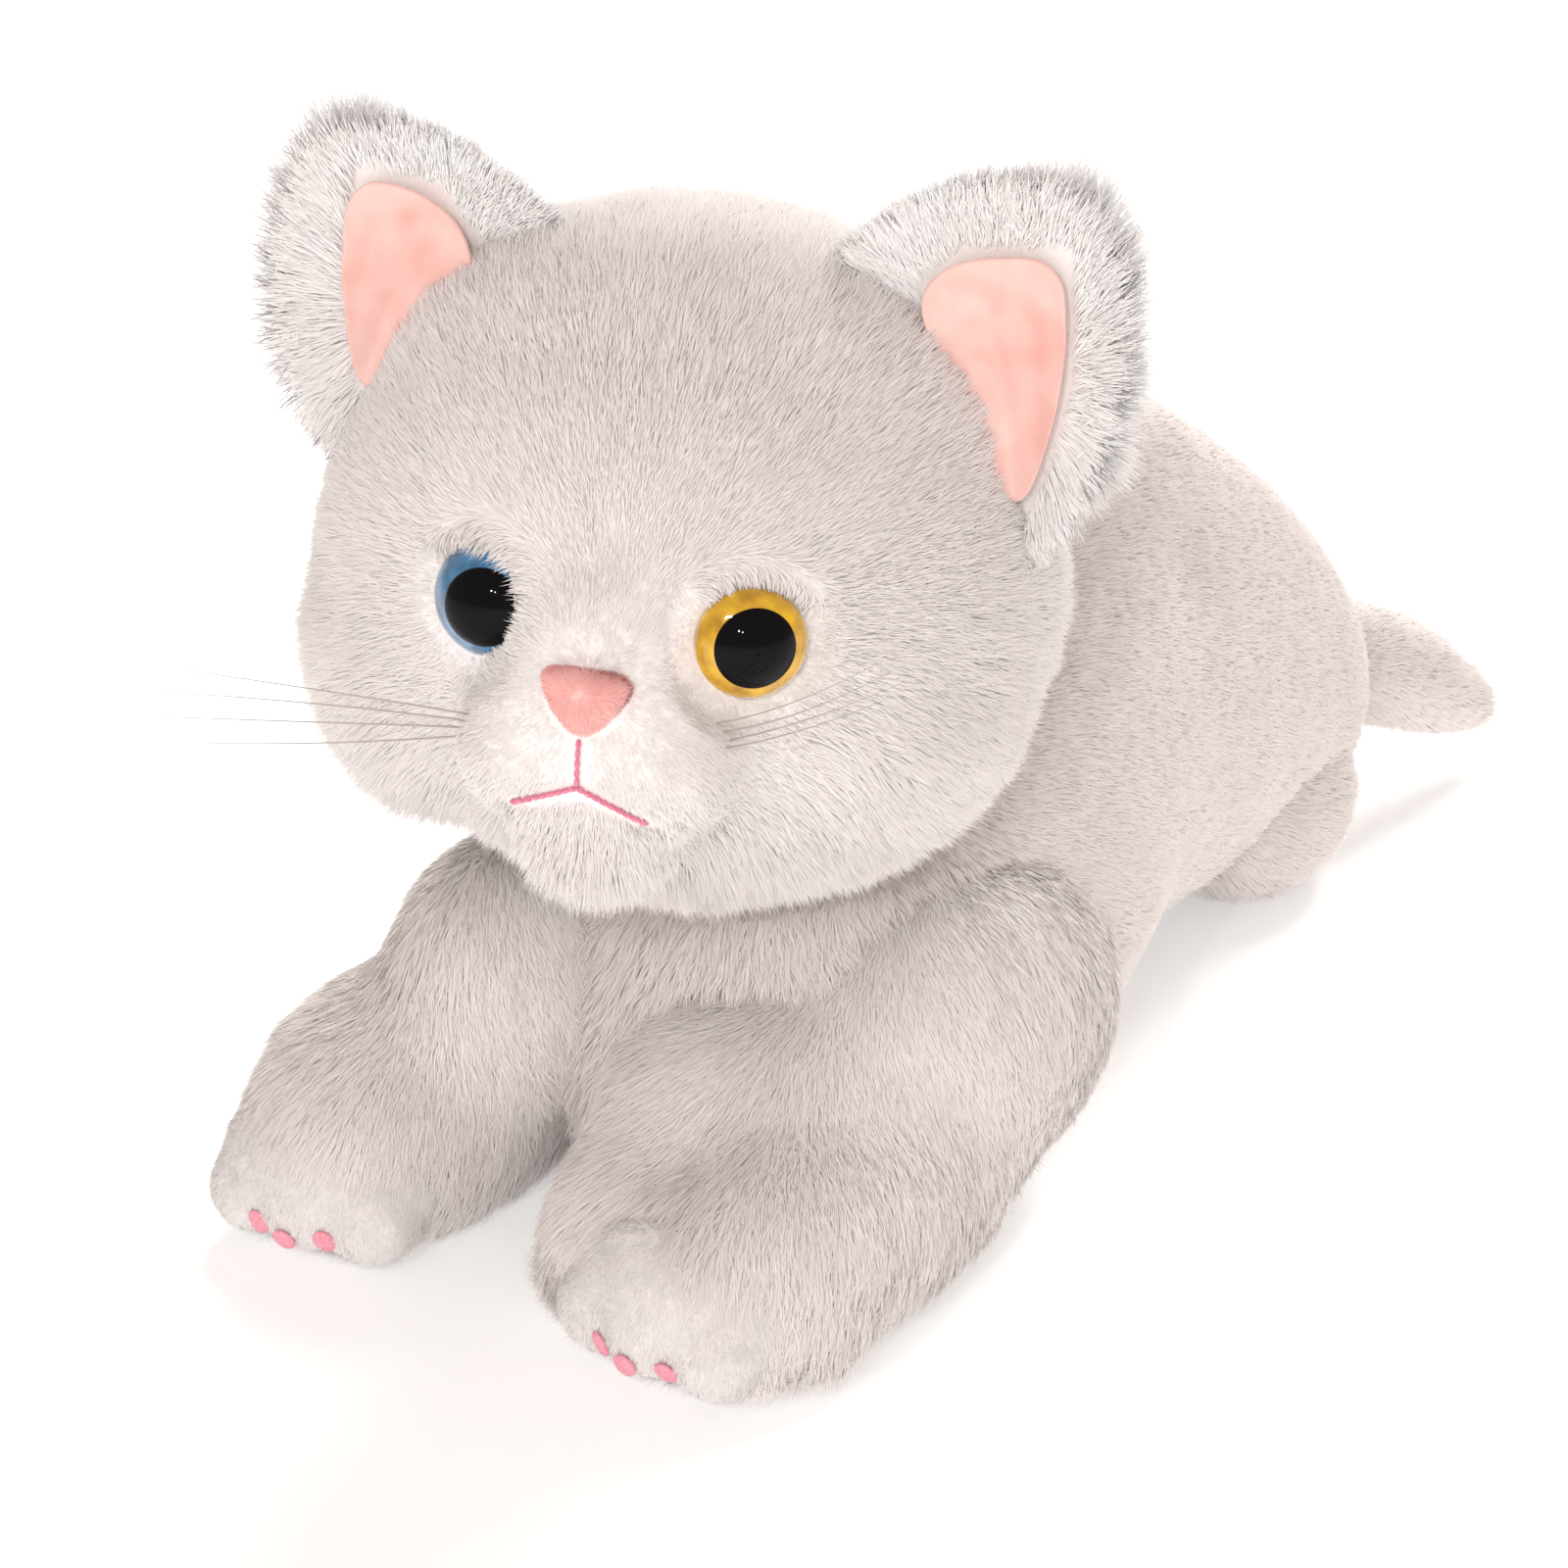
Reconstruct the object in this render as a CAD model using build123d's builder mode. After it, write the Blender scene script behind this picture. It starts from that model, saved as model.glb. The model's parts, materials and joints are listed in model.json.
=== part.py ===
from build123d import *
from math import acos, asin, cos, pi, radians, sin, sqrt, tan
import os

# An interactive plush kitten lying on its belly, in millimetres.
# +Z is up, the kitten faces -Y and its own left side is +X.
# The origin is on the surface it lies on, under the middle of its chest and belly.

os.makedirs("parts", exist_ok=True)

# ---------------------------------------------------------------- driving dimensions

CLOTH = 2.0  # plush cloth with its backing, without the pile
FILL_GAP = 0.3  # between the cloth and the fibre fill
FLOOR = 0.0

# Torso: (y, centre x, centre z, half width, half height) of each cross-section.
TORSO_RIBS = [
    (-90, -4, 28, 15, 16),
    (-80, -4, 34, 32, 34),
    (-55, -4, 40, 42, 50),
    (0, -4, 49, 43, 60),
    (45, -7, 63, 38, 61),
    (90, -6, 53, 34, 50),
    (122, -4, 41, 29, 36),
    (140, -2, 35, 11, 13),
]

MECH_X = -5.0  # centre line of everything mechanical

# Head, at rest turned to the kitten's left as it looks up at its owner.
HEAD_CENTRE = (-7.0, -70.7, 125.2)
HEAD_YAW = 21.6
HEAD_PITCH = -5.5
HEAD_ROLL = 3.9
SKULL_AT = (0.0, 3.0, -3.0)
SKULL = (60.0, 53.0)  # half width across the ears, radius seen from the side
MUZZLE_AT = (0.0, -40.0, -20.0)
MUZZLE = (24.0, 21.0)

NECK_AXIS = (MECH_X, -62.0)
NECK_HOLE_R = 17.0
NECK_BOWL = (74.0, 58.0)  # radius and depth of the hollow that the head turns in
NECK_BOWL_Z = 124.0

EYE_AT = (23.0, -45.9, -2.9)
EYE_OUTWARD = 27.0
EYE_R = 9.0
PUPIL_R = 6.6
EYE_STEM_R = 2.5
EYE_STEM = 12.0

EAR_AT_Y = -8.0
EAR_THICK = 7.0
LINING_THICK = 1.4

STITCH_WIDE = 1.3
WHISKER_R = 0.25
WHISKERS = 4

# Legs: (centre, yaw, half length, radius) of each limb's spheroid.
LEFT_FORELEG = ((35, -84, 18), 0, 47, 22)
RIGHT_FORELEG = ((-49, -90, 18), 12, 42, 22)
LEFT_UPPER_ARM = ((32, -47, 34), 0, 36, 25)
RIGHT_UPPER_ARM = ((-36, -76, 38), 0, 29, 23)
LEFT_INNER = ((9, -91, 15), 0, 36, 19)  # fuller inner side of each limb
RIGHT_INNER = ((-46, -88, 17), 8, 38, 20)
LEFT_PAW = (28, -117, 13.6)
RIGHT_PAW = (-49, -118, 13.6)
PAW_YAW = (-4, 6)  # left, right
PAW = (22, 15.5)  # half width, radius
LEFT_HIND_LEG = ((12, 100, 20), -6, 28, 20)
RIGHT_HIND_LEG = ((-22, 100, 20), 6, 28, 20)
PAD_R = 1.9

# Tail, wagging about a post inside the rump.
TAIL_AXIS = (MECH_X + 3.0, 112.0)
TAIL_REACH = 48.0  # from the axis to the tail's middle
TAIL_Z = 31.0
TAIL_ASIDE = 14.0  # degrees off straight back, to the kitten's left
TAIL_DROOP = 19.0
TAIL = (36.0, 12.5)
TAIL_GAP_R = 31.4

# Gears of both drives.
MODULE = 0.8
PRESSURE = radians(25)
PINION_TEETH = 10
WHEEL_TEETH = 36
BACKLASH = 0.16
ADDENDUM = 0.8
DEDENDUM = 1.05
CENTRES = MODULE * (PINION_TEETH + WHEEL_TEETH) / 2
AXLE_R = 1.0
RUNNING = 0.05  # radial clearance of what turns

# Gear case heights above its own floor.
WALL = 1.6
MOTOR_TALL = 15.0
LOW_GEARS = (17.4, 19.4)
HIGH_GEARS = (19.8, 22.8)
CASE_SPLIT = 16.9
CASE_TOP = 25.2
CASE_R = 17.6
OUTPUT_SHAFT_R = 3.0
MOTOR_SHAFT_R = 0.5
SHAFT_TOP = 29.4  # top of the output shaft over the case's floor

NECK_POST_R = 6.0
NECK_PLATE_R = 20.0
NECK_PLATE_Z = 88.0

DECK_FRONT_Z = 18.0
DECK_REAR_Z = 16.0
DECK = 1.6
DECK_STEP_Y = 8.0

# Battery box for three AAA cells, let into the belly.
CELL_R = 5.25
CELL_LONG = 44.5
CELL_PITCH = 11.3
BOX_Y = (-60.0, -7.0)
BOX_HALF = 18.7
BOX_TOP = 16.3
FLANGE_Z = (2.0, 3.5)
FLANGE_Y = (-69.0, 6.0)
FLANGE_HALF = 20.0
DOOR_Y = (-65.8, -9.5)
DOOR_HALF = 17.5
HINGE_Z = 3.7
HINGE_R = 1.7
PIN_R = 0.8

SWITCH_Y = 0.6
SWITCH_TRAVEL = 4.0
KNOB = (5.0, 3.0)

BUTTON_AT = (-7.0, 45.0)
BUTTON_TOP = 118.0
BUTTON_R = 8.0

SPEAKER_AT = (MECH_X, 28.0, 40.0)
SPEAKER_R = 14.0

# ---------------------------------------------------------------- shared forms


def save(builder, label):
    """Label a finished piece and write its STEP file."""
    builder.part.label = label
    export_step(builder.part, f"parts/{label}.step")


def plane_at(point, yaw=0.0, tilt=0.0, roll=0.0, base=Location()):
    """Plane at a point of base, turned about Z, then about X, then about Y."""
    turned = Rotation(0, 0, yaw) * Rotation(tilt, 0, 0) * Rotation(0, roll, 0)
    return Plane(base * Location(point) * turned)


head_plane = plane_at(HEAD_CENTRE, HEAD_YAW, HEAD_PITCH, HEAD_ROLL)
head_place = head_plane.location


def spheroid(plane, half_length, radius):
    """Ball stretched along the plane's own X axis."""
    with BuildPart() as ball:
        Sphere(radius)
        scale(by=(half_length / radius, 1, 1))
    with BuildPart() as form:
        with Locations(plane.location):
            add(ball.part)
    return form.part


def block(low, high):
    """Axis-aligned box between two corners."""
    middle = tuple((a + b) / 2 for a, b in zip(low, high))
    size = [b - a for a, b in zip(low, high)]
    with BuildPart() as form:
        with Locations(middle):
            Box(*size)
    return form.part


def post(x, y, z_low, z_high, radius):
    """Upright cylinder."""
    with BuildPart() as form:
        with Locations((x, y, z_low)):
            Cylinder(radius, z_high - z_low, align=(Align.CENTER, Align.CENTER, Align.MIN))
    return form.part


def below_floor(level=FLOOR):
    """Everything under the surface that the kitten lies on."""
    return block((-250, -300, level - 120), (250, 300, level))


# ---------------------------------------------------------------- torso


def neck_hollow(inset):
    """Bowl in the shoulders, round about the neck's axis."""
    bowl_r = NECK_BOWL[0] + inset
    bowl_z = NECK_BOWL[1] + inset
    with BuildPart() as hollow:
        with BuildSketch(Plane.XZ.offset(-NECK_AXIS[1])):
            with BuildLine():
                centre = (NECK_AXIS[0], NECK_BOWL_Z)
                EllipticalCenterArc(centre, bowl_r, bowl_z, start_angle=-90, arc_size=180)
                Line((NECK_AXIS[0], NECK_BOWL_Z + bowl_z), (NECK_AXIS[0], NECK_BOWL_Z - bowl_z))
            make_face()
        revolve(axis=Axis((NECK_AXIS[0], NECK_AXIS[1], 0), (0, 0, 1)), revolution_arc=360)
    return hollow.part


def torso_form(inset):
    """Torso drawn in by inset, flat where it rests and hollowed for the head."""
    hollow = neck_hollow(inset)
    floor = below_floor(FLOOR + inset)
    with BuildPart() as form:
        for y, x, z, wide, tall in TORSO_RIBS:
            drawn_in = y + inset if y == TORSO_RIBS[0][0] else y
            drawn_in = y - inset if y == TORSO_RIBS[-1][0] else drawn_in
            with BuildSketch(Plane.XZ.offset(-drawn_in)):
                with Locations((x, z)):
                    Ellipse(wide - inset, tall - inset)
        loft()
        add(floor, mode=Mode.SUBTRACT)
        add(hollow, mode=Mode.SUBTRACT)
    return form.part


torso_outer = torso_form(0)
torso_lining = torso_form(CLOTH)
torso_fill = torso_form(CLOTH + FILL_GAP)

belly_window = block(
    (MECH_X - FLANGE_HALF - 0.5, FLANGE_Y[0] - 0.5, -1), (MECH_X + FLANGE_HALF + 0.5, FLANGE_Y[1] + 0.5, 9)
)
neck_opening = post(*NECK_AXIS, 30, 90, NECK_HOLE_R)
tail_opening = block((TAIL_AXIS[0] - 12, 122, 36), (TAIL_AXIS[0] + 24, 150, 48))

with BuildPart() as torso_plush:
    add(torso_outer)
    add(torso_lining, mode=Mode.SUBTRACT)
    add(belly_window, mode=Mode.SUBTRACT)
    add(neck_opening, mode=Mode.SUBTRACT)
    add(tail_opening, mode=Mode.SUBTRACT)
save(torso_plush, "torso_plush")

with BuildPart() as torso_stuffing:
    add(torso_fill)
    # Room for the battery box, the head drive and the neck above it.
    add(block((MECH_X - 21, -71, -1), (MECH_X + 21, 8, 19)), mode=Mode.SUBTRACT)
    add(block((MECH_X - 19, -82, 15.5), (MECH_X + 19, 8, 44.5)), mode=Mode.SUBTRACT)
    add(post(*NECK_AXIS, 30, 90, NECK_HOLE_R + 0.4), mode=Mode.SUBTRACT)
    # Room for the board and the speaker.
    add(block((MECH_X - 19, 7.5, 13.9), (MECH_X + 19, 66, 49)), mode=Mode.SUBTRACT)
    # Room for the tail drive and the sweep of its arm.
    add(block((MECH_X - 16.5, 62, 13.9), (MECH_X + 22.5, 132, 48)), mode=Mode.SUBTRACT)
    add(tail_opening, mode=Mode.SUBTRACT)
    # Pocket of the back switch.
    add(post(*BUTTON_AT, BUTTON_TOP - 18, 130, 12.6), mode=Mode.SUBTRACT)
save(torso_stuffing, "torso_stuffing")

# ---------------------------------------------------------------- legs, soles and pads


def limb(centre, yaw, half_length, radius):
    """Spheroid with its long side fore and aft."""
    return spheroid(plane_at(centre, 90 + yaw), half_length, radius)


def paw_form(centre, yaw, grow=0.0):
    """Broad round paw, wider than it is long."""
    return spheroid(plane_at(centre, yaw), PAW[0] + grow, PAW[1] + grow)


def front_of(centre, yaw, shift):
    """Half space in front of a paw."""
    with BuildPart() as form:
        with BuildSketch(plane_at((centre[0], centre[1], -30), yaw)):
            with Locations((0, -50 - shift)):
                Rectangle(200, 100)
        extrude(amount=60)
    return form.part


def foreleg_form(leg, inner, upper_arm, paw_centre, paw_yaw):
    """Foreleg from shoulder to paw, without the torso and what is under the floor."""
    limb_solid = limb(*leg)
    inner_solid = limb(*inner)
    arm_solid = limb(*upper_arm)
    paw_solid = paw_form(paw_centre, paw_yaw)
    with BuildPart() as form:
        add(limb_solid)
        add(inner_solid)
        add(arm_solid)
        add(paw_solid)
        add(below_floor(), mode=Mode.SUBTRACT)
        add(torso_outer, mode=Mode.SUBTRACT)
    return form.part


SOLE = 0.9  # short-pile cloth over the toes
foreleg_solids = {}
paw_sole_solids = []
for side, leg, inner, upper_arm, paw_centre, paw_yaw in (
    ("left", LEFT_FORELEG, LEFT_INNER, LEFT_UPPER_ARM, LEFT_PAW, PAW_YAW[0]),
    ("right", RIGHT_FORELEG, RIGHT_INNER, RIGHT_UPPER_ARM, RIGHT_PAW, PAW_YAW[1]),
):
    foreleg_solids[side] = foreleg_form(leg, inner, upper_arm, paw_centre, paw_yaw)
    with BuildPart() as foreleg:
        add(foreleg_solids[side])
    save(foreleg, f"{side}_foreleg")

    # The sole wraps the lower front of the paw.
    paw_grown = paw_form(paw_centre, paw_yaw, SOLE)
    toe_zone = front_of(paw_centre, paw_yaw, 6.0)
    with BuildPart() as sole:
        add(paw_grown)
        add(toe_zone, mode=Mode.INTERSECT)
        add(foreleg_solids[side], mode=Mode.SUBTRACT)
        add(below_floor(), mode=Mode.SUBTRACT)
        add(block((-250, -300, 16), (250, 300, 80)), mode=Mode.SUBTRACT)
    paw_sole_solids.append(sole.part)

with BuildPart() as paw_soles:
    for solid in paw_sole_solids:
        add(solid)
save(paw_soles, "paw_soles")

for side, leg in (("left", LEFT_HIND_LEG), ("right", RIGHT_HIND_LEG)):
    hind_solid = limb(*leg)
    with BuildPart() as hind_leg:
        add(hind_solid)
        add(below_floor(), mode=Mode.SUBTRACT)
        add(torso_outer, mode=Mode.SUBTRACT)
        # Only the outer bulge shows; what would be left under the belly is not sewn.
        largest = hind_leg.part.solids().sort_by(SortBy.VOLUME)[-1]
    with BuildPart() as hind_leg_kept:
        add(largest)
    save(hind_leg_kept, f"{side}_hind_leg")


def paw_surface(azimuth, drop):
    """Distance from a paw's centre to its sole, in a direction off its own front."""
    across = sin(radians(azimuth)) * cos(radians(drop)) / (PAW[0] + SOLE)
    rest = sqrt(1 - (sin(radians(azimuth)) * cos(radians(drop))) ** 2) / (PAW[1] + SOLE)
    return 1 / sqrt(across**2 + rest**2)


pad_solids = []
for paw_centre, paw_yaw, side in ((LEFT_PAW, PAW_YAW[0], "left"), (RIGHT_PAW, PAW_YAW[1], "right")):
    for azimuth in (-24, 0, 24):
        drop = 22
        reach = paw_surface(azimuth, drop)
        pad_plane = plane_at(paw_centre, paw_yaw + azimuth, 90 + drop)
        with BuildPart() as pad:
            with BuildSketch(pad_plane.offset(reach - 0.6)):
                Ellipse(PAD_R, PAD_R * 1.25)
            extrude(amount=1.3)
            add(paw_form(paw_centre, paw_yaw, SOLE), mode=Mode.SUBTRACT)
            add(foreleg_solids[side], mode=Mode.SUBTRACT)
        pad_solids.append(pad.part)

with BuildPart() as toe_pads:
    for solid in pad_solids:
        add(solid)
save(toe_pads, "toe_pads")

# ---------------------------------------------------------------- battery box and door

window_half = 17.9
window_y = (-66.2, -7.3)
cell_z = FLANGE_Z[1] + 0.45 + CELL_R
screw_y = DOOR_Y[0] + 2.9

with BuildPart() as battery_box:
    add(block((MECH_X - BOX_HALF, BOX_Y[0], FLANGE_Z[0]), (MECH_X + BOX_HALF, BOX_Y[1], BOX_TOP)))
    add(block((MECH_X - FLANGE_HALF, FLANGE_Y[0], FLANGE_Z[0]), (MECH_X + FLANGE_HALF, FLANGE_Y[1], FLANGE_Z[1])))
    # Cell bay, the door's opening and the slot of the power switch.
    add(
        block((MECH_X - 17.2, -57.2, FLANGE_Z[1]), (MECH_X + 17.2, -10.6, BOX_TOP - 1.5)),
        mode=Mode.SUBTRACT,
    )
    add(
        block((MECH_X - window_half, window_y[0], 1), (MECH_X + window_half, window_y[1], FLANGE_Z[1])),
        mode=Mode.SUBTRACT,
    )
    add(
        block((MECH_X - 10.5, -11.5, 1), (MECH_X + 10.5, window_y[1], HINGE_Z + HINGE_R + 0.4)),
        mode=Mode.SUBTRACT,
    )
    add(
        block(
            (MECH_X - 2 - KNOB[0] / 2 - 0.3, SWITCH_Y - KNOB[1] / 2 - 0.3, 1),
            (MECH_X + 2 + KNOB[0] / 2 + 0.3, SWITCH_Y + KNOB[1] / 2 + 0.3, 5),
        ),
        mode=Mode.SUBTRACT,
    )
    # Screw boss at the free end of the door.
    with Locations((MECH_X, screw_y, FLANGE_Z[1])):
        Cylinder(2.9, 6, align=(Align.CENTER, Align.CENTER, Align.MIN))
    add(block((MECH_X - 2.9, screw_y, FLANGE_Z[1]), (MECH_X + 2.9, BOX_Y[0], FLANGE_Z[1] + 6)))
    with Locations((MECH_X, screw_y, 1)):
        Cylinder(1.7, 8, align=(Align.CENTER, Align.CENTER, Align.MIN), mode=Mode.SUBTRACT)
    # Holes that hold the hinge pin on both sides of the door's knuckle.
    with BuildSketch(Plane.YZ.offset(MECH_X - 14)):
        with Locations((DOOR_Y[1], HINGE_Z)):
            Circle(PIN_R)
    extrude(amount=28, mode=Mode.SUBTRACT)
save(battery_box, "battery_box")

with BuildPart() as door_hinge_pin:
    with BuildSketch(Plane.YZ.offset(MECH_X - 14)):
        with Locations((DOOR_Y[1], HINGE_Z)):
            Circle(PIN_R)
    extrude(amount=28)
save(door_hinge_pin, "door_hinge_pin")

with BuildPart() as battery_door:
    add(block((MECH_X - DOOR_HALF, DOOR_Y[0], FLANGE_Z[0]), (MECH_X + DOOR_HALF, DOOR_Y[1], FLANGE_Z[1] - 0.1)))
    with BuildSketch(Plane.YZ.offset(MECH_X - 10)):
        with Locations((DOOR_Y[1], HINGE_Z)):
            Circle(HINGE_R)
    extrude(amount=20)
    with BuildSketch(Plane.YZ.offset(MECH_X - 20)):
        with Locations((DOOR_Y[1], HINGE_Z)):
            Circle(PIN_R + RUNNING)
    extrude(amount=40, mode=Mode.SUBTRACT)
    # The door's corners beside the knuckle stay short of the hinge line.
    for edge in (-1, 1):
        corner_x = MECH_X + edge * 14.2
        add(block((corner_x - 4, -12.4, 1), (corner_x + 4, -7, 6)), mode=Mode.SUBTRACT)
    # Finger groove across the middle and the screw's hole.
    with Locations((MECH_X, -40, FLANGE_Z[0])):
        Box(14, 3, 1.2, mode=Mode.SUBTRACT)
    with Locations((MECH_X, screw_y, 1)):
        Cylinder(1.3, 4, align=(Align.CENTER, Align.CENTER, Align.MIN), mode=Mode.SUBTRACT)
save(battery_door, "battery_door")

with BuildPart() as door_screw:
    with Locations((MECH_X, screw_y, 0.9)):
        Cylinder(2.2, 1.1, align=(Align.CENTER, Align.CENTER, Align.MIN))
        Cylinder(1.1, 5.4, align=(Align.CENTER, Align.CENTER, Align.MIN))
    with Locations((MECH_X, screw_y, 0.9)):
        Box(3.0, 0.6, 1.0, mode=Mode.SUBTRACT)
        Box(0.6, 3.0, 1.0, mode=Mode.SUBTRACT)
save(door_screw, "door_screw")

cell_y = -56.0
with BuildPart() as battery_cells:
    for index in (-1, 0, 1):
        nose_first = index % 2 == 0
        nub_at = cell_y if nose_first else cell_y + CELL_LONG - 0.8
        can_at = cell_y + 0.8 if nose_first else cell_y
        with BuildSketch(Plane.XZ.offset(-can_at)):
            with Locations((MECH_X + index * CELL_PITCH, cell_z)):
                Circle(CELL_R)
        extrude(amount=-(CELL_LONG - 0.8))
        with BuildSketch(Plane.XZ.offset(-nub_at)):
            with Locations((MECH_X + index * CELL_PITCH, cell_z)):
                Circle(1.9)
        extrude(amount=-0.8)
save(battery_cells, "battery_cells")

with BuildPart() as battery_contacts:
    for index in (-1, 0, 1):
        x = MECH_X + index * CELL_PITCH
        if index:
            add(block((x - 4, -57.1, cell_z - 4), (x + 4, -56.7, cell_z + 4)))
            add(block((x - 4, -11.1, cell_z - 2.5), (x + 4, -10.7, cell_z + 3.5)))
        else:
            add(block((x - 2.4, -57.1, cell_z + 3.4), (x + 2.4, -56.7, cell_z + 4.8)))
            add(block((x - 4, -11.1, cell_z - 2.5), (x + 4, -10.7, cell_z + 3.5)))
save(battery_contacts, "battery_contacts")

# ---------------------------------------------------------------- power switch

knob_x = MECH_X - SWITCH_TRAVEL / 2
with BuildPart() as power_switch_knob:
    add(
        block(
            (knob_x - KNOB[0] / 2, SWITCH_Y - KNOB[1] / 2, 1.0),
            (knob_x + KNOB[0] / 2, SWITCH_Y + KNOB[1] / 2, 5.2),
        )
    )
    for groove in (-1.4, 0, 1.4):
        with Locations((knob_x + groove, SWITCH_Y, 1.0)):
            Box(0.5, 4, 0.8, mode=Mode.SUBTRACT)
save(power_switch_knob, "power_switch_knob")

with BuildPart() as power_switch_body:
    add(block((MECH_X - 8.5, SWITCH_Y - 3, 5.5), (MECH_X + 8.5, SWITCH_Y + 4.2, 10)))
    for foot in (-1, 1):
        add(
            block(
                (MECH_X + foot * 7.4 - 1.1, SWITCH_Y - 3, FLANGE_Z[1]),
                (MECH_X + foot * 7.4 + 1.1, SWITCH_Y + 4.2, 5.5),
            )
        )
save(power_switch_body, "power_switch_body")

# ---------------------------------------------------------------- chassis

screw_places = [(MECH_X + x, y) for x in (-13.5, 13.5) for y in (-13.5, 3.0)]
with BuildPart() as chassis:
    # Front deck over the battery box, a step, and the narrower rear deck.
    add(block((MECH_X - 17.5, -80, DECK_FRONT_Z - DECK), (MECH_X + 17.5, DECK_STEP_Y, DECK_FRONT_Z)))
    add(block((MECH_X - 14, DECK_STEP_Y, DECK_REAR_Z - DECK), (MECH_X + 14, DECK_STEP_Y + 2, DECK_FRONT_Z)))
    add(block((MECH_X - 17.5, DECK_STEP_Y + 2, DECK_REAR_Z - DECK), (MECH_X + 17.5, 46, DECK_REAR_Z)))
    add(block((MECH_X - 9, 46, DECK_REAR_Z - DECK), (MECH_X + 9, 80, DECK_REAR_Z)))
    add(block((MECH_X - 9, 80, DECK_REAR_Z - DECK), (MECH_X + 13, 120, DECK_REAR_Z)))
    # Front corners follow the round chest.
    corners = chassis.edges().filter_by(Axis.Z).group_by(Axis.Y)[0]
    fillet(corners, 9)
    # Legs of the board.
    with Locations(*[(MECH_X + x, y, DECK_REAR_Z) for x in (-10, 10) for y in (15, 42)]):
        Cylinder(1.8, 3, align=(Align.CENTER, Align.CENTER, Align.MIN))
    with Locations(*[(x, y, DECK_FRONT_Z - DECK - 1) for x, y in screw_places]):
        Cylinder(1.1, 6, align=(Align.CENTER, Align.CENTER, Align.MIN), mode=Mode.SUBTRACT)
save(chassis, "chassis")

with BuildPart() as chassis_screws:
    for x, y in screw_places:
        with Locations((x, y, DECK_FRONT_Z)):
            Cylinder(2.1, 1.3, align=(Align.CENTER, Align.CENTER, Align.MIN))
        with Locations((x, y, DECK_FRONT_Z - 1.4)):
            Cylinder(1.05, 1.4, align=(Align.CENTER, Align.CENTER, Align.MIN))
        with Locations((x, y, DECK_FRONT_Z + 1.3)):
            Box(2.6, 0.6, 1.2, mode=Mode.SUBTRACT)
            Box(0.6, 2.6, 1.2, mode=Mode.SUBTRACT)
save(chassis_screws, "chassis_screws")

# ---------------------------------------------------------------- board and speaker

board_z = DECK_REAR_Z + 3.0
with BuildPart() as main_board:
    add(block((MECH_X - 12.5, 12, board_z), (MECH_X + 12.5, 45, board_z + 1.2)))
    with Locations(*[(MECH_X + x, y, board_z) for x in (-10, 10) for y in (15, 42)]):
        Cylinder(0.9, 4, mode=Mode.SUBTRACT)
save(main_board, "main_board")

with BuildPart() as board_chips:
    top = board_z + 1.2
    add(block((MECH_X - 4, 24, top), (MECH_X + 4, 32, top + 1.6)))
    add(block((MECH_X - 9.5, 34, top), (MECH_X - 4.5, 39, top + 1.4)))
    for y in (20, 24, 28):
        add(block((MECH_X + 7, y, top), (MECH_X + 10, y + 1.6, top + 1.2)))
    with Locations((MECH_X - 8.4, 27, top)):
        Cylinder(2.5, 6, align=(Align.CENTER, Align.CENTER, Align.MIN))
    for y in (17.5,):
        add(block((MECH_X - 6, y, top), (MECH_X + 6, y + 4, top + 4.5)))
save(board_chips, "board_chips")

sx, sy, sz = SPEAKER_AT
with BuildPart() as speaker:
    with BuildSketch(Plane.XZ.offset(-sy)):
        with BuildLine():
            Polyline(
                (sx, sz - 6.5),
                (sx + 6.5, sz - 6.5),
                (sx + 6.5, sz - 2.5),
                (sx + 8, sz - 2.5),
                (sx + 13, sz),
                (sx + SPEAKER_R, sz),
                (sx + SPEAKER_R, sz + 1.4),
                (sx + 12.4, sz + 1.4),
                (sx + 5, sz - 1.4),
                (sx + 3.2, sz + 0.6),
                (sx, sz + 1.2),
                close=True,
            )
        make_face()
    revolve(axis=Axis((sx, sy, 0), (0, 0, 1)), revolution_arc=360)
save(speaker, "speaker")

with BuildPart() as speaker_bracket:
    with BuildSketch(Plane.XY.offset(sz - 1.6)):
        with Locations((sx, sy)):
            Circle(SPEAKER_R + 1.6)
            Circle(13.4, mode=Mode.SUBTRACT)
    extrude(amount=1.5)
    for edge in (-1, 1):
        leg_x = sx + edge * (SPEAKER_R + 0.4)
        add(block((leg_x - 1.1, sy - 4, DECK_REAR_Z), (leg_x + 1.1, sy + 4, sz - 1.6)))
save(speaker_bracket, "speaker_bracket")

# ---------------------------------------------------------------- back switch

bx, by = BUTTON_AT
with BuildPart() as back_switch_housing:
    with Locations((bx, by, BUTTON_TOP - 16)):
        Cylinder(12, 12.5, align=(Align.CENTER, Align.CENTER, Align.MIN))
    with Locations((bx, by, BUTTON_TOP - 14.4)):
        Cylinder(10.4, 9.4, align=(Align.CENTER, Align.CENTER, Align.MIN), mode=Mode.SUBTRACT)
    with Locations((bx, by, BUTTON_TOP - 6)):
        Cylinder(BUTTON_R + 0.3, 5, align=(Align.CENTER, Align.CENTER, Align.MIN), mode=Mode.SUBTRACT)
save(back_switch_housing, "back_switch_housing")

with BuildPart() as back_button:
    with Locations((bx, by, BUTTON_TOP - 7)):
        Cylinder(BUTTON_R, 7, align=(Align.CENTER, Align.CENTER, Align.MIN))
    fillet(back_button.edges().group_by(Axis.Z)[-1], 1.5)
    with Locations((bx, by, BUTTON_TOP - 7)):
        Cylinder(BUTTON_R + 1.6, 1.5, align=(Align.CENTER, Align.CENTER, Align.MIN))
save(back_button, "back_button")

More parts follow.
